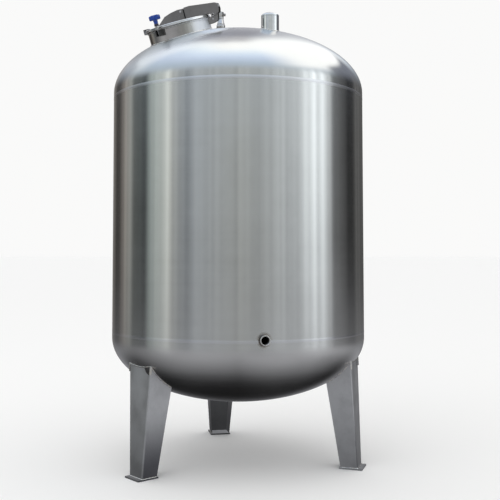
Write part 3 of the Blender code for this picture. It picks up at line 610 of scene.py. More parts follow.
def resampled(path, spacing, closed):
    """Points at an even spacing along a path."""
    ends = path + path[:1] if closed else path
    lengths = [0.0]
    for a, b in zip(ends, ends[1:]):
        lengths.append(lengths[-1] + (b - a).length)
    count = max(4, round(lengths[-1] / spacing))
    points, k = [], 0
    for goal in spread(0.0, lengths[-1], count)[:count if closed else count + 1]:
        while k < len(ends) - 2 and lengths[k + 1] < goal:
            k += 1
        share = (goal - lengths[k]) / max(lengths[k + 1] - lengths[k], 1e-9)
        points.append(ends[k].lerp(ends[k + 1], share))
    return points


def lay_weld(name, path, width, rise, outward, slot, metal=bright_weld, closed=True, ripple=0.16,
             section=LAID_BEAD):
    """Lay a rippled bead on the tank, along a path; outward(point) is the way its crown faces."""
    points = resampled(path, BEAD_RIPPLE / 4, closed)
    count = len(points)
    rings = []
    for i, point in enumerate(points):
        before = points[i - 1] if closed or i else point
        after = points[(i + 1) % count] if closed or i < count - 1 else point
        along = (after - before).normalized()
        out = outward(point).normalized()
        out = (out - along * out.dot(along)).normalized()
        side = along.cross(out)
        swell = 1.0 + ripple * ((i % 4) / 4.0 - 0.5)
        rings.append([point + side * (across * width / 2) + out * (up * rise * swell)
                      - along * (2.0 * ripple * BEAD_RIPPLE * abs(across)) for across, up in section])
    return fit(skinned(name, rings, 60.0, closed, not closed), metal, "tank", slot)


def ground_seam(name, path, rise, metal, closed=False):
    """A bead on the shell, ground down smooth."""
    lay_weld(name, path, SEAM_WIDTH, rise, lambda point: Vector((point.x, point.y, 0.0)), "satin_steel",
             metal, closed, 0.0, GROUND_BEAD)


def seam_points(height, gap=0.0):
    """Points round a seam, from one side of the socket round the back to its other side."""
    turns = spread(SOCKET_AZIMUTH + gap, SOCKET_AZIMUTH + 360.0 - gap, SEAM_STEPS)
    return [around(turn) @ Vector((TANK_RADIUS, 0.0, height)) for turn in turns]


ground_seam("top_seam_weld", seam_points(TOP_SEAM_Z)[:-1], TOP_SEAM_RISE, ground_weld_highlight, closed=True)
ground_seam("bottom_seam_weld", seam_points(BOTTOM_SEAM_Z, SOCKET_CLEAR), LOW_SEAM_RISE, flush_weld_highlight)
back_line = [Vector((0.0, TANK_RADIUS, z)) for z in (BOTTOM_SEAM_Z + 0.004, TOP_SEAM_Z - 0.004)]
ground_seam("shell_seam_weld", back_line, LOW_SEAM_RISE, flush_weld_highlight)


# Legs and feet
# Three tapered channels of folded 4 mm sheet, their tops cut to the curve of the bottom head and
# welded to it all along, each on a flat plate welded round its foot. The sheet is dull satin.
LEG_TOP_Z = 0.62
LEG_FACE = (0.731, 0.705)
LEG_HALF = (0.060, 0.104)
LEG_EDGE = (0.633, 0.542)
FOOT_THICKNESS = 0.009
LEG_MIDDLE = 0.64
LEG_COLOUR = (0.57, 0.57, 0.57)
FOLD_BEAD = 0.046
FLANK_SHADE_TINT = (0.32, 0.32, 0.34, 1.0)


def mill_sheet(name, colour, roughness, foot=1.0, inside=1.0):
    """Folded sheet in its mill finish: upright grain and smudges, with painted shade that makes it darker to
    the foot, and most so on its inner side and low on the flange that is on its right."""
    material, tree = new_finish(name, colour, roughness)
    geometry = node(tree, "NewGeometry").outputs
    place, facing = geometry["Position"], geometry["True Normal"]
    parts = node(tree, "SeparateXYZ", {0: place}).outputs
    grain = noise(tree, vector_maths(tree, "MULTIPLY", place, (260.0, 260.0, 5.0)), 1.0, 3.0)
    cloud = noise(tree, place, 7.0, 6.0, Roughness=0.65)
    tone = ramp(tree, cloud, [(0.32, 0.84), (0.52, 1.0), (0.72, 1.08)])
    shade = ramp(tree, rescaled(tree, parts[2], 0.0, 0.6),
                 [(0.0, foot), (0.30, 0.45 + 0.55 * foot), (0.70, 1.0)])
    paint = times(tree, times(tree, tone, shade), (*colour, 1.0))
    outwards = vector_maths(tree, "NORMALIZE", flattened(tree, parts))
    # Painted shade on the faces that look in towards the tank's axis.
    inner = rescaled(tree, vector_maths(tree, "DOT_PRODUCT", outwards, facing), -0.4, -0.8)
    paint = blend(tree, inner, paint, times(tree, paint, (inside, inside, inside, 1.0)))
    # Painted shade: each leg's right flange darkens towards its foot.
    low = eased_share(tree, parts[2], 0.38, 0.06)
    for azimuth in LEG_AZIMUTHS.values():
        flank = tuple(around(azimuth).to_3x3() @ Vector((0.0, 1.0, 0.0)))
        flush = rescaled(tree, vector_maths(tree, "DOT_PRODUCT", facing, flank), 0.93, 0.98)
        paint = blend(tree, maths(tree, "MULTIPLY", low, flush), paint, times(tree, paint, FLANK_SHADE_TINT))
    rough = uneven(tree, blend(tree, 0.5, grain, cloud), roughness, 0.08, 0.10)
    return dress(material, paint, rough, grain, 0.12, 0.0003)


def ease_edges(piece, width):
    ease = piece.modifiers.new("eased_edges", "BEVEL")
    ease.width = width
    ease.segments = 2
    ease.limit_method = "ANGLE"
    ease.angle_limit = radians(40.0)
    ease.harden_normals = True


def refinish(name, material, edge):
    """Keep a node of the model, with a better finish and its sharp edges eased."""
    piece = nodes[name]
    piece.data.materials.clear()
    piece.data.materials.append(material)
    ease_edges(piece, edge)
    return piece


def leg_point(along, height):
    """A point of a leg's outer side: along runs 0 to 3, over flange, face and flange."""
    share = (height - FOOT_THICKNESS) / (LEG_TOP_Z - FOOT_THICKNESS)
    face, half, edge = (foot + (top - foot) * share for foot, top in (LEG_FACE, LEG_HALF, LEG_EDGE))
    if along < 1.0:
        return Vector((edge + (face - edge) * along, -half, height))
    if along < 2.0:
        return Vector((face, half * (2.0 * along - 3.0), height))
    return Vector((face + (edge - face) * (along - 2.0), half, height))


def scribed_point(along):
    """Where a line up the leg's outer side meets the bottom head."""
    point = leg_point(along, 0.55)
    for _ in range(30):
        point = leg_point(along, BOTTOM_SEAM_Z - head_height(point.x, point.y))
    return point


def fold_points(along):
    """Down the top of a fold, where the sheet was closed with a short bead."""
    top = scribed_point(along).z
    return [leg_point(along, height) for height in spread(top, top - FOLD_BEAD, 5)]


# The legs are darkened towards the foot and on their inner sides as painted shade.
leg_sheet = mill_sheet("leg_sheet", LEG_COLOUR, 0.46, 0.54, 0.26)
across = spread(0.02, 2.98, 90)
for side, azimuth in LEG_AZIMUTHS.items():
    turn = around(azimuth)
    centre = turn @ Vector((LEG_MIDDLE, 0.0, 0.0))
    hidden = [refinish(side + "_leg", leg_sheet, 0.0008),
              refinish(side + "_foot", leg_sheet, 0.0012)]
    for joint, points, width, rise in (
            ("leg", [scribed_point(along) for along in across], 0.008, 0.0035),
            ("left_fold", fold_points(1.0), 0.012, 0.0025),
            ("right_fold", fold_points(2.0), 0.012, 0.0025),
            ("foot", [leg_point(along, FOOT_THICKNESS) for along in across], 0.007, 0.0035)):
        bead = lay_weld(f"{side}_{joint}_weld", [turn @ point for point in points], width, rise,
                        lambda point: Vector((point.x - centre.x, point.y - centre.y, 0.0)), "leg_steel",
                        closed=False)
    # The tank mirrors no leg or foot in the photograph, so these are kept out of what it sees.
    for piece in (*hidden, bead):
        piece.visible_glossy = False


# Side socket
# A turned ring with a pipe thread in its bore, welded into a hole just over the bottom seam. Its
# face is machined bright, and the weld has left a straw and brown tint on the sheet around it.
SOCKET_BORE = 0.0225
SOCKET_REACH = 0.030
SOCKET_INSIDE = -0.014
SOCKET_LIP = 0.0012
THREAD_PITCH = 0.0023
THREAD_CREST = 0.0211
THREAD_DEPTH = 0.0013
UP = Vector((0.0, 0.0, 1.0))


def machined(name, colour, roughness):
    """Turned stainless steel with fine tool marks."""
    material, tree = new_finish(name, colour, roughness)
    place = node(tree, "TexCoord").outputs["Object"]
    cloud = noise(tree, place, 60.0, 4.0)
    paint = toned(tree, colour, cloud, [(0.30, 0.84), (0.55, 1.0), (0.75, 1.04)])
    marks = noise(tree, place, 1400.0, 1.0)
    return dress(material, paint, uneven(tree, cloud, roughness, 0.05, 0.07), marks, 0.05)


def eased(profile, radius, closed=False):
    """Round each corner of a profile with a small arc."""
    points = []
    count = len(profile)
    for i, point in enumerate(profile):
        here = Vector(point)
        if not closed and i in (0, count - 1) or point[0] < 1e-7:
            points.append(tuple(here))
            continue
        before, after = Vector(profile[i - 1]) - here, Vector(profile[(i + 1) % count]) - here
        trim = min(radius, before.length * 0.45, after.length * 0.45)
        start, end = here + before.normalized() * trim, here + after.normalized() * trim
        for share in (0.0, 0.3, 0.7, 1.0):
            points.append(tuple(start.lerp(here, share).lerp(here.lerp(end, share), share)))
    return points


def thread_profile(radius, top, bottom, pitch, depth):
    """A saw of thread crests down a bore or a stem, as (radius, height)."""
    points = []
    for i in range(int((top - bottom) / pitch)):
        points += [(radius, top - pitch * i), (radius + depth, top - pitch * (i + 0.5))]
    return points + [(radius, bottom)]


def reface(piece, place, material, chosen):
    """Give another finish to the faces chosen by their radius and height in the piece's frame."""
    piece.data.materials.append(material)
    into = place.inverted()
    for face in piece.data.polygons:
        middle = into @ face.center
        if chosen(hypot(middle.x, middle.y), middle.z):
            face.material_index = len(piece.data.materials) - 1


def socket_weld_point(turn):
    """A point where the ring's outside meets the shell."""
    flat = polar(SOCKET_RADIUS + 0.001, turn)
    out = sqrt(TANK_RADIUS ** 2 - flat.x ** 2)
    return around(SOCKET_AZIMUTH) @ Vector((out, flat.x, SOCKET_Z + flat.y))


turned_steel = machined("turned_steel", (0.72, 0.71, 0.69), 0.24)
# The bores are near black: painted shade down the socket's bore and in the hinge pin's recesses.
bore_shade_steel = machined("bore_shade_steel", (0.07, 0.068, 0.065), 0.55)
# The ring's outside is darkened as painted shade where it stands out of the shell.
barrel_shade_steel = machined("barrel_shade_steel", (0.20, 0.19, 0.18), 0.36)
outside = eased([(THREAD_CREST + 0.0010, SOCKET_REACH), (SOCKET_RADIUS, SOCKET_REACH),
                 (SOCKET_RADIUS, SOCKET_INSIDE), (SOCKET_BORE, SOCKET_INSIDE)], 0.0006)
thread = thread_profile(THREAD_CREST, SOCKET_REACH - SOCKET_LIP, SOCKET_INSIDE + 0.001, THREAD_PITCH,
                        THREAD_DEPTH)
socket_ring = turned("socket_ring", outside + thread[::-1], 96, SOCKET)
fit(socket_ring, turned_steel, "tank", "satin_steel", "side_socket")
# Painted shade on the ring's outside.
reface(socket_ring, SOCKET, barrel_shade_steel, lambda reach, height: height < SOCKET_REACH - 0.003)
reface(socket_ring, SOCKET, bore_shade_steel,
       lambda reach, height: height < SOCKET_REACH - SOCKET_LIP and reach < SOCKET_BORE + 0.0005)
socket_axis = SOCKET.to_3x3() @ UP
# Its dark weld is painted shade.
lay_weld("socket_weld", [socket_weld_point(turn) for turn in whole_turn(60)], 0.006, 0.002,
         lambda point: socket_axis, "satin_steel", dark_weld)


# Capped pipe
# A short 4 inch stub of polished tube, let into the dome and welded round. A pressed cap with a
# domed top closes it, butt welded and polished over so that only a faint line is left.
PIPE_WALL = 0.002
PIPE_TOP_Z = 2.558
PIPE_CAP_SKIRT = 0.008
PIPE_CAP_RISE = 0.018
PIPE_REACH = 0.008


def polished(name, colour, roughness):
    """Buffed stainless steel with a faint haze and fine hairlines."""
    material, tree = new_finish(name, colour, roughness)
    place = position(tree)
    haze = noise(tree, place, 26.0, 5.0)
    hair = noise(tree, vector_maths(tree, "MULTIPLY", place, (30.0, 30.0, 1100.0)), 1.0, 2.0)
    paint = toned(tree, colour, haze, [(0.30, 0.90), (0.60, 1.0)])
    rough = uneven(tree, blend(tree, 0.6, haze, hair), roughness, 0.03, 0.05)
    return dress(material, paint, rough, hair, 0.04)


def dome_ring(x, y, radius):
    """Points where an upright tube's outside meets the dome."""
    return [on_dome(x + radius * cos(t), y + radius * sin(t)) for t in whole_turn(72)]


buffed_steel = polished("buffed_steel", (0.72, 0.72, 0.71), 0.045)
pipe_bore, pipe_rim, cap_foot = PIPE_RADIUS - PIPE_WALL, PIPE_TOP_Z - 0.0005, PIPE_TOP_Z + 0.0003
pipe_foot = on_dome(PIPE_X, PIPE_Y - PIPE_RADIUS).z - WALL - PIPE_REACH
pipe_line = [(PIPE_RADIUS, pipe_rim), (PIPE_RADIUS, pipe_foot), (pipe_bore, pipe_foot), (pipe_bore, pipe_rim)]
fit(turned("pipe_tube", pipe_line, 128, PIPE), buffed_steel, "tank", "polished_steel", "top_pipe")
cap_outer = arc(0.0, cap_foot + PIPE_CAP_SKIRT, PIPE_RADIUS, PIPE_CAP_RISE, pi / 2, 0.0, 20)
cap_inner = [(max(0.0, r - PIPE_WALL), z - PIPE_WALL) for r, z in cap_outer]
cap_line = cap_outer + [(PIPE_RADIUS, cap_foot), (pipe_bore, cap_foot)] + cap_inner[::-1]
fit(turned("pipe_cap", cap_line, 128, PIPE), buffed_steel, "tank", "polished_steel", "top_pipe_cap")
lay_weld("pipe_weld", dome_ring(PIPE_X, PIPE_Y, PIPE_RADIUS + 0.001), 0.008, 0.0028, lambda point: UP,
         "polished_steel")


# Breather
# A turned ferrule welded to the dome, a union nut with four spanner slots, a tapered body, and a
# hexagon head with a threaded outlet to one side.
VENT_TUBE_BORE = 0.015
VENT_TUBE_BOTTOM = -0.012
VENT_NUT_LOW, VENT_NUT_TOP = 0.025, 0.047
VENT_NUT_RADIUS = 0.026
NUT_SLOT_DEPTH = 0.0034
NUT_SLOT_HALF = 9.0
VENT_BODY_TOP = 0.094
VENT_BODY_RADIUS = 0.0165
VENT_CONE_RADIUS = 0.0225
VENT_HEX_TOP = 0.126
VENT_HEX_RADIUS = 0.0175
VENT_OUTLET_Z = 0.110
VENT_OUTLET_RADIUS = 0.009
VENT_OUTLET_REACH = 0.029


def slotted_nut():
    """The round union nut, with four half round spanner slots down its rim."""
    def reach(turn):
        off = abs((degrees(turn) + 22.5) % 90.0 - 45.0)
        return VENT_NUT_RADIUS - NUT_SLOT_DEPTH * sqrt(max(0.0, 1.0 - (off / NUT_SLOT_HALF) ** 2))
    rows = [(VENT_NUT_LOW, 0.004), (VENT_NUT_LOW + 0.0015, 0.001), (VENT_NUT_LOW + 0.004, 0.0),
            (VENT_NUT_TOP - 0.004, 0.0), (VENT_NUT_TOP - 0.0015, 0.001), (VENT_NUT_TOP, 0.004)]
    rings = [ring(VENT, lambda turn: reach(turn) - inset, height, 144) for height, inset in rows]
    return skinned("union_nut", rings, capped=True)


def hexagon(name, flat, rows, place):
    """A hexagon through rows of (height, widest radius), so that a small radius chamfers its corners."""
    def reach(turn):
        return flat / cos((turn % (pi / 3)) - pi / 6)
    rings = [ring(place, lambda turn: min(reach(turn), widest), height, 72) for height, widest in rows]
    return skinned(name, rings, 25.0, capped=True)


vent_steel = machined("vent_steel", (0.58, 0.56, 0.54), 0.15)
tube_top = VENT_NUT_LOW - 0.0003
tube_line = eased([(VENT_TUBE_RADIUS, tube_top), (VENT_TUBE_RADIUS, VENT_TUBE_BOTTOM),
                   (VENT_TUBE_BORE, VENT_TUBE_BOTTOM), (VENT_TUBE_BORE, tube_top)], 0.0006, closed=True)
fit(turned("vent_tube", tube_line, 64, VENT), vent_steel, "tank", "satin_steel", "vent_ferrule")
lay_weld("vent_weld", dome_ring(VENT_X, VENT_Y, VENT_TUBE_RADIUS + 0.001), 0.006, 0.002, lambda point: UP,
         "satin_steel")
fit(slotted_nut(), vent_steel, "tank", "satin_steel", "vent_nut")
body_low = VENT_NUT_TOP + 0.0003
body_line = [(0.0, VENT_BODY_TOP), (VENT_BODY_RADIUS, VENT_BODY_TOP),
             (VENT_BODY_RADIUS, VENT_BODY_TOP - 0.010), (VENT_BODY_RADIUS - 0.001, VENT_BODY_TOP - 0.012),
             (VENT_CONE_RADIUS, body_low + 0.006), (VENT_CONE_RADIUS, body_low), (0.0, body_low)]
fit(turned("vent_cone", eased(body_line, 0.0012), 64, VENT), vent_steel, "tank", "satin_steel", "vent_body")
hex_low, hex_flat = VENT_BODY_TOP + 0.0003, VENT_HEX_RADIUS * cos(pi / 6)
hex_rows = [(hex_low, hex_flat), (hex_low + 0.0016, 1.0), (VENT_HEX_TOP - 0.0016, 1.0),
            (VENT_HEX_TOP, hex_flat), (VENT_HEX_TOP, hex_flat * 0.62),
            (VENT_HEX_TOP - 0.003, hex_flat * 0.58)]
fit(hexagon("vent_hex", hex_flat, hex_rows, VENT), vent_steel, "tank", "satin_steel", "vent_hexagon")
SIDEWAYS = placed(VENT, 0.0, 0.0, VENT_OUTLET_Z, pi / 2, "Y")
root, mouth = VENT_HEX_RADIUS + 0.0003, VENT_OUTLET_RADIUS * 0.6
spout, end = VENT_OUTLET_RADIUS, VENT_OUTLET_REACH
crests = thread_profile(spout - 0.0008, end - 0.001, root + 0.002, 0.0013, 0.0008)
outlet_line = [(0.0, end - 0.006), (mouth, end - 0.006), (mouth, end), *crests, (spout, root + 0.001),
               (spout, root), (0.0, root)]
fit(turned("vent_spout", outlet_line, 48, SIDEWAYS), vent_steel, "tank", "satin_steel", "vent_outlet")


# Manway neck
# A ring of rolled sheet let into the dome, leaning outwards square to it, and welded all round. A
# round bead is rolled into it to stiffen it, and its rim is ground smooth where the seal sits.
NECK_TOP = -0.0128
NECK_BOTTOM = -0.0956
NECK_BEAD_Z = -0.0240
NECK_BEAD_RADIUS = 0.0040


def fitting_sheet(name, colour, roughness, highlight_and_matt_patches=()):
    """Formed sheet of the manway: buffed by hand in short curved strokes, brightened in places as a painted
    highlight and dulled there.
    """
    material, tree = new_finish(name, colour, roughness)
    place = position(tree)
    strokes = noise(tree, place, 90.0, 6.0, Roughness=0.7, Distortion=1.2)
    cloud = noise(tree, place, 14.0, 4.0)
    paint = toned(tree, colour, cloud, [(0.30, 0.84), (0.52, 1.0), (0.75, 1.06)])
    rough = uneven(tree, blend(tree, 0.5, strokes, cloud), roughness, 0.06, 0.08)
    paint, rough = highlight_and_dull(tree, place, paint, rough, highlight_and_matt_patches)
    return dress(material, paint, rough, strokes, 0.06, 0.0003)


def neck_weld_point(turn):
    """Where the neck's outside meets the dome, found by halving along an upright line of the neck."""
    high, low = 0.0, NECK_BOTTOM
    for _ in range(30):
        height = (high + low) / 2
        point = MANWAY @ polar(NECK_RADIUS + 0.0015, turn, height)
        out = hypot(point.x, point.y) / TANK_RADIUS
        up = (point.z - TOP_SEAM_Z - HEAD_SKIRT) / HEAD_BULGE
        high, low = (height, low) if out ** 2 + up ** 2 > 1.0 else (high, height)
    return point


def from_neck(point):
    local = MANWAY.inverted() @ point
    return MANWAY.to_3x3() @ (Vector((local.x, local.y, 0.0)).normalized() + UP)


manway_sheet = fitting_sheet("manway_sheet", (0.55, 0.54, 0.51), 0.13)
# On the neck's side towards the hinge the sheet is brightened as a painted highlight and dulled.
neck_sheet = fitting_sheet("neck_sheet", (0.55, 0.54, 0.51), 0.13,
                           [(on_manway(0.172, -0.060, -0.055), 0.050, 0.080, 1.0, 0.50)])
neck_bead = arc(NECK_RADIUS, NECK_BEAD_Z, NECK_BEAD_RADIUS, NECK_BEAD_RADIUS, pi / 2, -pi / 2, 10)
neck_line = [(NECK_RADIUS - 0.001, NECK_TOP), (NECK_RADIUS, NECK_TOP - 0.001), *neck_bead,
             (NECK_RADIUS, NECK_BOTTOM), (NECK_RADIUS - WALL, NECK_BOTTOM), (NECK_RADIUS - WALL, NECK_TOP)]
fit(turned("neck_ring", neck_line, 192, MANWAY), neck_sheet, "tank", "satin_steel", "manway_neck")
lay_weld("neck_weld", [neck_weld_point(turn) for turn in whole_turn(180)], 0.009, 0.004, from_neck,
         "satin_steel")


# Manway lid and seal
# A pressed lid with a shallow raised middle, a rounded edge and a short skirt that comes down over
# the seal. The seal is a flat ring of grey rubber, held inside the skirt.
LID_RADIUS = 0.190
LID_SHEET = 0.003
LID_PANEL_RADIUS = 0.157
LID_STEP_WIDTH = 0.008
LID_RIM_DROP = 0.003
LID_SKIRT_BOTTOM = -0.016
LID_HEM = 0.0008
GASKET_BORE = 0.172
lid_rim, lid_step = -LID_RIM_DROP, LID_PANEL_RADIUS + LID_STEP_WIDTH
lid_inside, lid_under = LID_RADIUS - LID_SHEET, lid_rim - LID_SHEET


def lid_line():
    """The lid's section: its top from the middle out and down, then its underside back in."""
    rim = eased([(0.0, 0.0), (0.08, 0.0), (LID_PANEL_RADIUS, 0.0), (lid_step, lid_rim), (LID_RADIUS, lid_rim),
                 (LID_RADIUS, LID_SKIRT_BOTTOM + 0.005)], 0.004)
    hem = arc(LID_RADIUS + LID_HEM - 0.0002, LID_SKIRT_BOTTOM + 2 * LID_HEM, LID_HEM, 2 * LID_HEM,
              pi / 2, -pi / 2, 8)
    under = eased([(lid_inside, LID_SKIRT_BOTTOM), (lid_inside, lid_under), (lid_step, lid_under),
                   (LID_PANEL_RADIUS, -LID_SHEET), (0.0, -LID_SHEET)], 0.002)
    return rim + hem + under


def seal_rubber(name, colour):
    """Matt moulded rubber with a fine bloom."""
    material, tree = new_finish(name, colour, 0.72, 0.0)
    bloom = noise(tree, position(tree), 220.0, 5.0)
    paint = toned(tree, colour, bloom, [(0.35, 0.75), (0.65, 1.20)])
    return dress(material, paint, None, bloom, 0.2)


lid_sheet = fitting_sheet("lid_sheet", (0.80, 0.80, 0.79), 0.17)
fit(turned("lid_pressing", lid_line(), 192, MANWAY), lid_sheet, "lid", "satin_steel", "manway_lid")
seal_out, seal_top, seal_low = lid_inside - 0.0003, lid_under - 0.0003, NECK_TOP + 0.0003
seal_line = eased([(seal_out, seal_top), (seal_out, seal_low), (GASKET_BORE, seal_low),
                   (GASKET_BORE, seal_top)], 0.0015, closed=True)
fit(turned("lid_seal", seal_line, 128, MANWAY), seal_rubber("seal_rubber", (0.12, 0.12, 0.12)), "lid",
    "seal_rubber", "manway_gasket")


# Lid's arm and hinge
# A channel of folded plate carries the lid by a pinned lug in its middle, with a tapered nose at
# one end. It swings on a pin through two cheeks welded to the neck. The plate is dull and dark.
ARM_HALF_WIDTH = 0.027
ARM_SHEET = 0.003
STRAP_U = 0.2515
PIN_RADIUS = 0.005
PIN_HEAD_HEIGHT = 0.003
PIN_SLACK = 0.0008
LUG_PIN_HEAD = 0.0065
HINGE_PIN_HEAD = 0.0085
HINGE_PIN_RECESS = 0.0050
PIN_RECESS_DEPTH = 0.0025
LUG_PIN_U, LUG_PIN_W = 0.0386, 0.054
NOSE_SLOT = (0.0535, 0.0610)
NOSE_SLOT_TOP = 0.060
STRAP_BOLT_W = 0.0325
WASHER = 0.0012
RIVET_U, RIVET_W = 0.212, -0.034
RIVET_OUT = 0.019
RIVET_RADIUS = 0.0045
RIVET_HEIGHT = 0.0016


def manway_block(name, low, high):
    """A plain block in the manway's frame."""
    shape = bmesh.new()
    bmesh.ops.create_cube(shape, size=1.0)
    for vert in shape.verts:
        share = vert.co + Vector((0.5, 0.5, 0.5))
        vert.co = MANWAY @ Vector([a + (b - a) * s for a, b, s in zip(low, high, share)])
    return add_piece(name, shape)


def slotted_nose():
    """The nose, its two cheeks cut short so that a slot stays open in front of the arm."""
    nose = add_object("slotted_nose", nodes["arm_nose"].data.copy())
    cut_away(nose, manway_block("cutter", (NOSE_SLOT[0], -0.04, 0.004), (NOSE_SLOT[1], 0.04, NOSE_SLOT_TOP)))
    ease_edges(nose, 0.0012)
    return nose


def cross_pin(name, u, w, half_length, head_radius, body, stands_for, recess=0.0):
    """A turned pin across the arm, with a chamfered head at each end, hollowed where it has a recess."""
    lie = placed(MANWAY, u, 0.0, w, pi / 2, "X")
    neck = half_length - PIN_HEAD_HEIGHT
    floor = half_length - (PIN_RECESS_DEPTH if recess else 0.0)
    half = [(recess, floor), (recess, half_length)] if recess else []
    half = [(0.0, floor), *half, (head_radius, half_length), (head_radius, neck), (PIN_RADIUS, neck)]
    line = eased(half + [(r, -h) for r, h in half[::-1]], 0.0008)
    pin = fit(turned(name, line, 48, lie), buffed_steel, body, "polished_steel", stands_for)
    # The recess is given the bore's painted shade.
    reface(pin, lie, bore_shade_steel, lambda reach, height: reach < recess + 0.0004)


def hex_screw(name, place, flat, head, body):
    """A hexagon screw with its washer, standing on local Z = 0."""
    rim = flat * 1.45
    washer = eased([(0.0, WASHER), (rim, WASHER), (rim, 0.0), (0.0, 0.0)], 0.0003)
    fit(turned(name + "_washer", washer, 48, place), buffed_steel, body, "polished_steel")
    rows = [(WASHER, 1.0), (WASHER + head - 0.0009, 1.0), (WASHER + head, flat)]
    fit(hexagon(name, flat, rows, place), buffed_steel, body, "polished_steel")


dull_plate = mill_sheet("dull_plate", (0.30, 0.295, 0.285), 0.32)
slot_shade = mill_sheet("slot_shade", (0.05, 0.05, 0.05), 0.55)
for name in ("lid_arm", "arm_end_strap", "lid_lug", "hinge_bracket"):
    refinish(name, dull_plate, 0.0013)
refinish("lid_handle", dull_plate, 0.0012)
fit(slotted_nose(), dull_plate, "lid", "arm_steel", "arm_nose")
# The spacer in the slot is near black, as painted shade inside the channel.
spacer_half = ARM_HALF_WIDTH - 2 * ARM_SHEET - 0.0006
spacer = manway_block("arm_spacer", (NOSE_SLOT[0] - 0.004, -spacer_half, 0.008),
                      (NOSE_SLOT[1] + 0.004, spacer_half, 0.062))
ease_edges(spacer, 0.0012)
fit(spacer, slot_shade, "lid", "arm_steel")
nose_half = ARM_HALF_WIDTH - ARM_SHEET - 0.0003
pin_stand = PIN_HEAD_HEIGHT + PIN_SLACK
cross_pin("lug_pin", LUG_PIN_U, LUG_PIN_W, nose_half + pin_stand, LUG_PIN_HEAD, "lid", "lid_lug_pin")
cross_pin("arm_pin", PIN_U, PIN_W, ARM_HALF_WIDTH + pin_stand, HINGE_PIN_HEAD, "tank", "hinge_pin",
          HINGE_PIN_RECESS)
strap_face = placed(MANWAY, STRAP_U + ARM_SHEET, 0.0, STRAP_BOLT_W, pi / 2, "Y")
hex_screw("strap_bolt", strap_face, 0.0050, 0.0040, "lid")
rivet_line = [(0.0, -0.0005), (RIVET_RADIUS, -0.0005),
              *arc(0.0, 0.0, RIVET_RADIUS, RIVET_HEIGHT, 0.0, pi / 2, 8)]
for side, out in (("near", -1), ("far", 1)):
    stand = placed(MANWAY, RIVET_U, out * RIVET_OUT, RIVET_W, -out * pi / 2, "X")
    fit(turned(side + "_bracket_rivet", rivet_line, 32, stand), buffed_steel, "tank", "polished_steel")


# Clamps
# Two hand screws stand on ears welded to the lid's edge, and each drops into a forked lug on the
# neck. The screws are turned and threaded, and their five lobed knobs are moulded blue plastic.
SCREW_RADIUS = 0.005
SCREW_TOP = 0.030
SCREW_BOTTOM = -0.048
SCREW_PITCH = 0.0014
SCREW_THREAD = 0.0007
COLLAR_RADIUS = 0.009
RING_RADIUS = 0.008
EAR_TOP = -0.006
EAR_THICKNESS = 0.005
KNOB_RADIUS = 0.033
KNOB_LOBES = 5
KNOB_LOBE_SHARE = 0.14
KNOB_BOTTOM = 0.012
KNOB_STAR = (0.034, 0.060)
LOCK_NUT_FLAT = 0.0112
HUB_RADIUS = 0.0125
HUB_FOOT_RADIUS = 0.0105


def knob_plastic(name, colour):
    """Moulded blue plastic, half glossy, with a fine moulded grain and rubbed high spots."""
    material, tree = new_finish(name, colour, 0.2, 0.0)
    place = node(tree, "TexCoord").outputs["Object"]
    wear = noise(tree, place, 90.0, 4.0)
    paint = toned(tree, colour, wear, [(0.35, 0.80), (0.60, 1.0), (0.80, 1.35)])
    return dress(material, paint, uneven(tree, wear, 0.2, 0.06, 0.08), noise(tree, place, 900.0, 3.0), 0.10)


def clamp_axis(side):
    """A clamp's own frame, from its joint: Z up its screw."""
    local = MANWAY.inverted() @ Vector(joints[side + "_clamp_turn"]["pos_m"])
    return placed(MANWAY, local.x, local.y, 0.0, atan2(local.y, local.x), "Z")


def knob_star(name, lie):
    """The lobed grip: rounded at its rims and dished a little on top, with a hub below."""
    low, high = KNOB_STAR
    swell = KNOB_RADIUS * KNOB_LOBE_SHARE
    rows = [(SCREW_TOP + 0.0003, SCREW_RADIUS + 0.0003, 0.0), (KNOB_BOTTOM, SCREW_RADIUS + 0.0003, 0.0),
            (KNOB_BOTTOM, HUB_FOOT_RADIUS, 0.0), (KNOB_BOTTOM + 0.001, HUB_FOOT_RADIUS + 0.0005, 0.0),
            (SCREW_TOP, HUB_RADIUS, 0.0), (low - 0.0005, HUB_RADIUS + 0.001, 0.0),
            (low, HUB_RADIUS + 0.003, 0.2), (low, KNOB_RADIUS - 0.0040, 0.9),
            (low + 0.0012, KNOB_RADIUS - 0.0015, 1.0), (low + 0.0045, KNOB_RADIUS, 1.0),
            (high - 0.0055, KNOB_RADIUS, 1.0), (high - 0.0018, KNOB_RADIUS - 0.0018, 1.0),
            (high - 0.0002, KNOB_RADIUS - 0.0055, 0.95), (high, KNOB_RADIUS - 0.009, 0.8),
            (high - 0.0006, HUB_RADIUS + 0.002, 0.2), (high - 0.0016, HUB_RADIUS, 0.0),
            (high - 0.0016, 0.0105, 0.0), (high - 0.0004, 0.0100, 0.0)]
    rings = [ring(lie, lambda turn: radius - swell * lobes * (1.0 - cos(KNOB_LOBES * turn)), height, 120)
             for height, radius, lobes in rows]
    return skinned(name, rings, 40.0, capped=True)


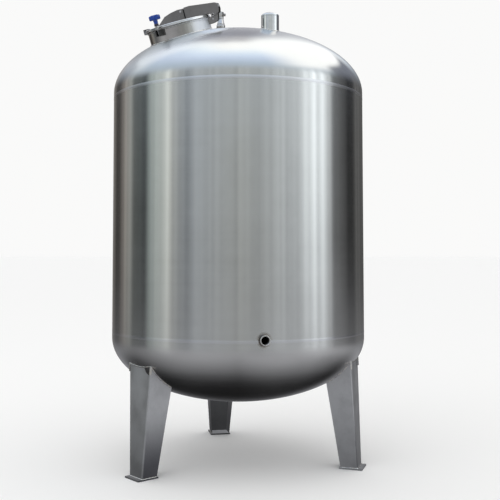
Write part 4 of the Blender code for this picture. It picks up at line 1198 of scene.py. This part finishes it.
def clamp_screw(name, lie):
    """The stem with its rolled thread, its collar over the ear and its ring under it."""
    collar, under = EAR_TOP + 0.0003, EAR_TOP - EAR_THICKNESS - 0.0005
    root = SCREW_RADIUS - SCREW_THREAD
    upper = thread_profile(root, KNOB_BOTTOM - 0.001, collar + 0.0055, SCREW_PITCH, SCREW_THREAD)
    lower = thread_profile(root, under - 0.0035, SCREW_BOTTOM + 0.0015, SCREW_PITCH, SCREW_THREAD)
    line = [(0.0, SCREW_TOP), (SCREW_RADIUS, SCREW_TOP), (SCREW_RADIUS, KNOB_BOTTOM), *upper,
            (SCREW_RADIUS, collar + 0.005), (COLLAR_RADIUS - 0.0005, collar + 0.004),
            (COLLAR_RADIUS, collar + 0.0035), (COLLAR_RADIUS, collar + 0.0005),
            (COLLAR_RADIUS - 0.0005, collar), (SCREW_RADIUS, collar), (SCREW_RADIUS, under),
            (RING_RADIUS - 0.0004, under), (RING_RADIUS, under - 0.0005), (RING_RADIUS, under - 0.0025),
            (RING_RADIUS - 0.0004, under - 0.003), (SCREW_RADIUS, under - 0.003),
            *lower, (SCREW_RADIUS - 0.0015, SCREW_BOTTOM), (0.0, SCREW_BOTTOM)]
    return turned(name, line, 48, lie)


blue_plastic = knob_plastic("blue_plastic", (0.004, 0.042, 0.27))
# The lugs are darkened as painted shade, where they sit under the lid's ears.
lug_shade_plate = mill_sheet("lug_shade_plate", (0.13, 0.13, 0.13), 0.34)
lock_nut_steel = machined("lock_nut_steel", (0.11, 0.11, 0.14), 0.32)
nut_low, nut_high = EAR_TOP + 0.0055, KNOB_BOTTOM + 0.0002
nut_rows = [(nut_low, LOCK_NUT_FLAT), (nut_low + 0.0012, 1.0), (nut_high - 0.0012, 1.0),
            (nut_high, LOCK_NUT_FLAT)]
for side in ("near", "far"):
    lie, body = clamp_axis(side), side + "_clamp"
    fit(clamp_screw(side + "_screw", lie), buffed_steel, body, "polished_steel", side + "_clamp_screw")
    fit(hexagon(side + "_lock_nut", LOCK_NUT_FLAT, nut_rows, lie), lock_nut_steel, body, "arm_steel")
    knob = fit(knob_star(side + "_knob", lie), blue_plastic, body, "knob_plastic", side + "_clamp_knob")
    # The lid mirrors no blue in the photograph, so the knobs are kept out of what it sees.
    knob.visible_glossy = False
    refinish(side + "_clamp_ear", manway_sheet, 0.0008)
    refinish(side + "_clamp_lug", lug_shade_plate, 0.0009)
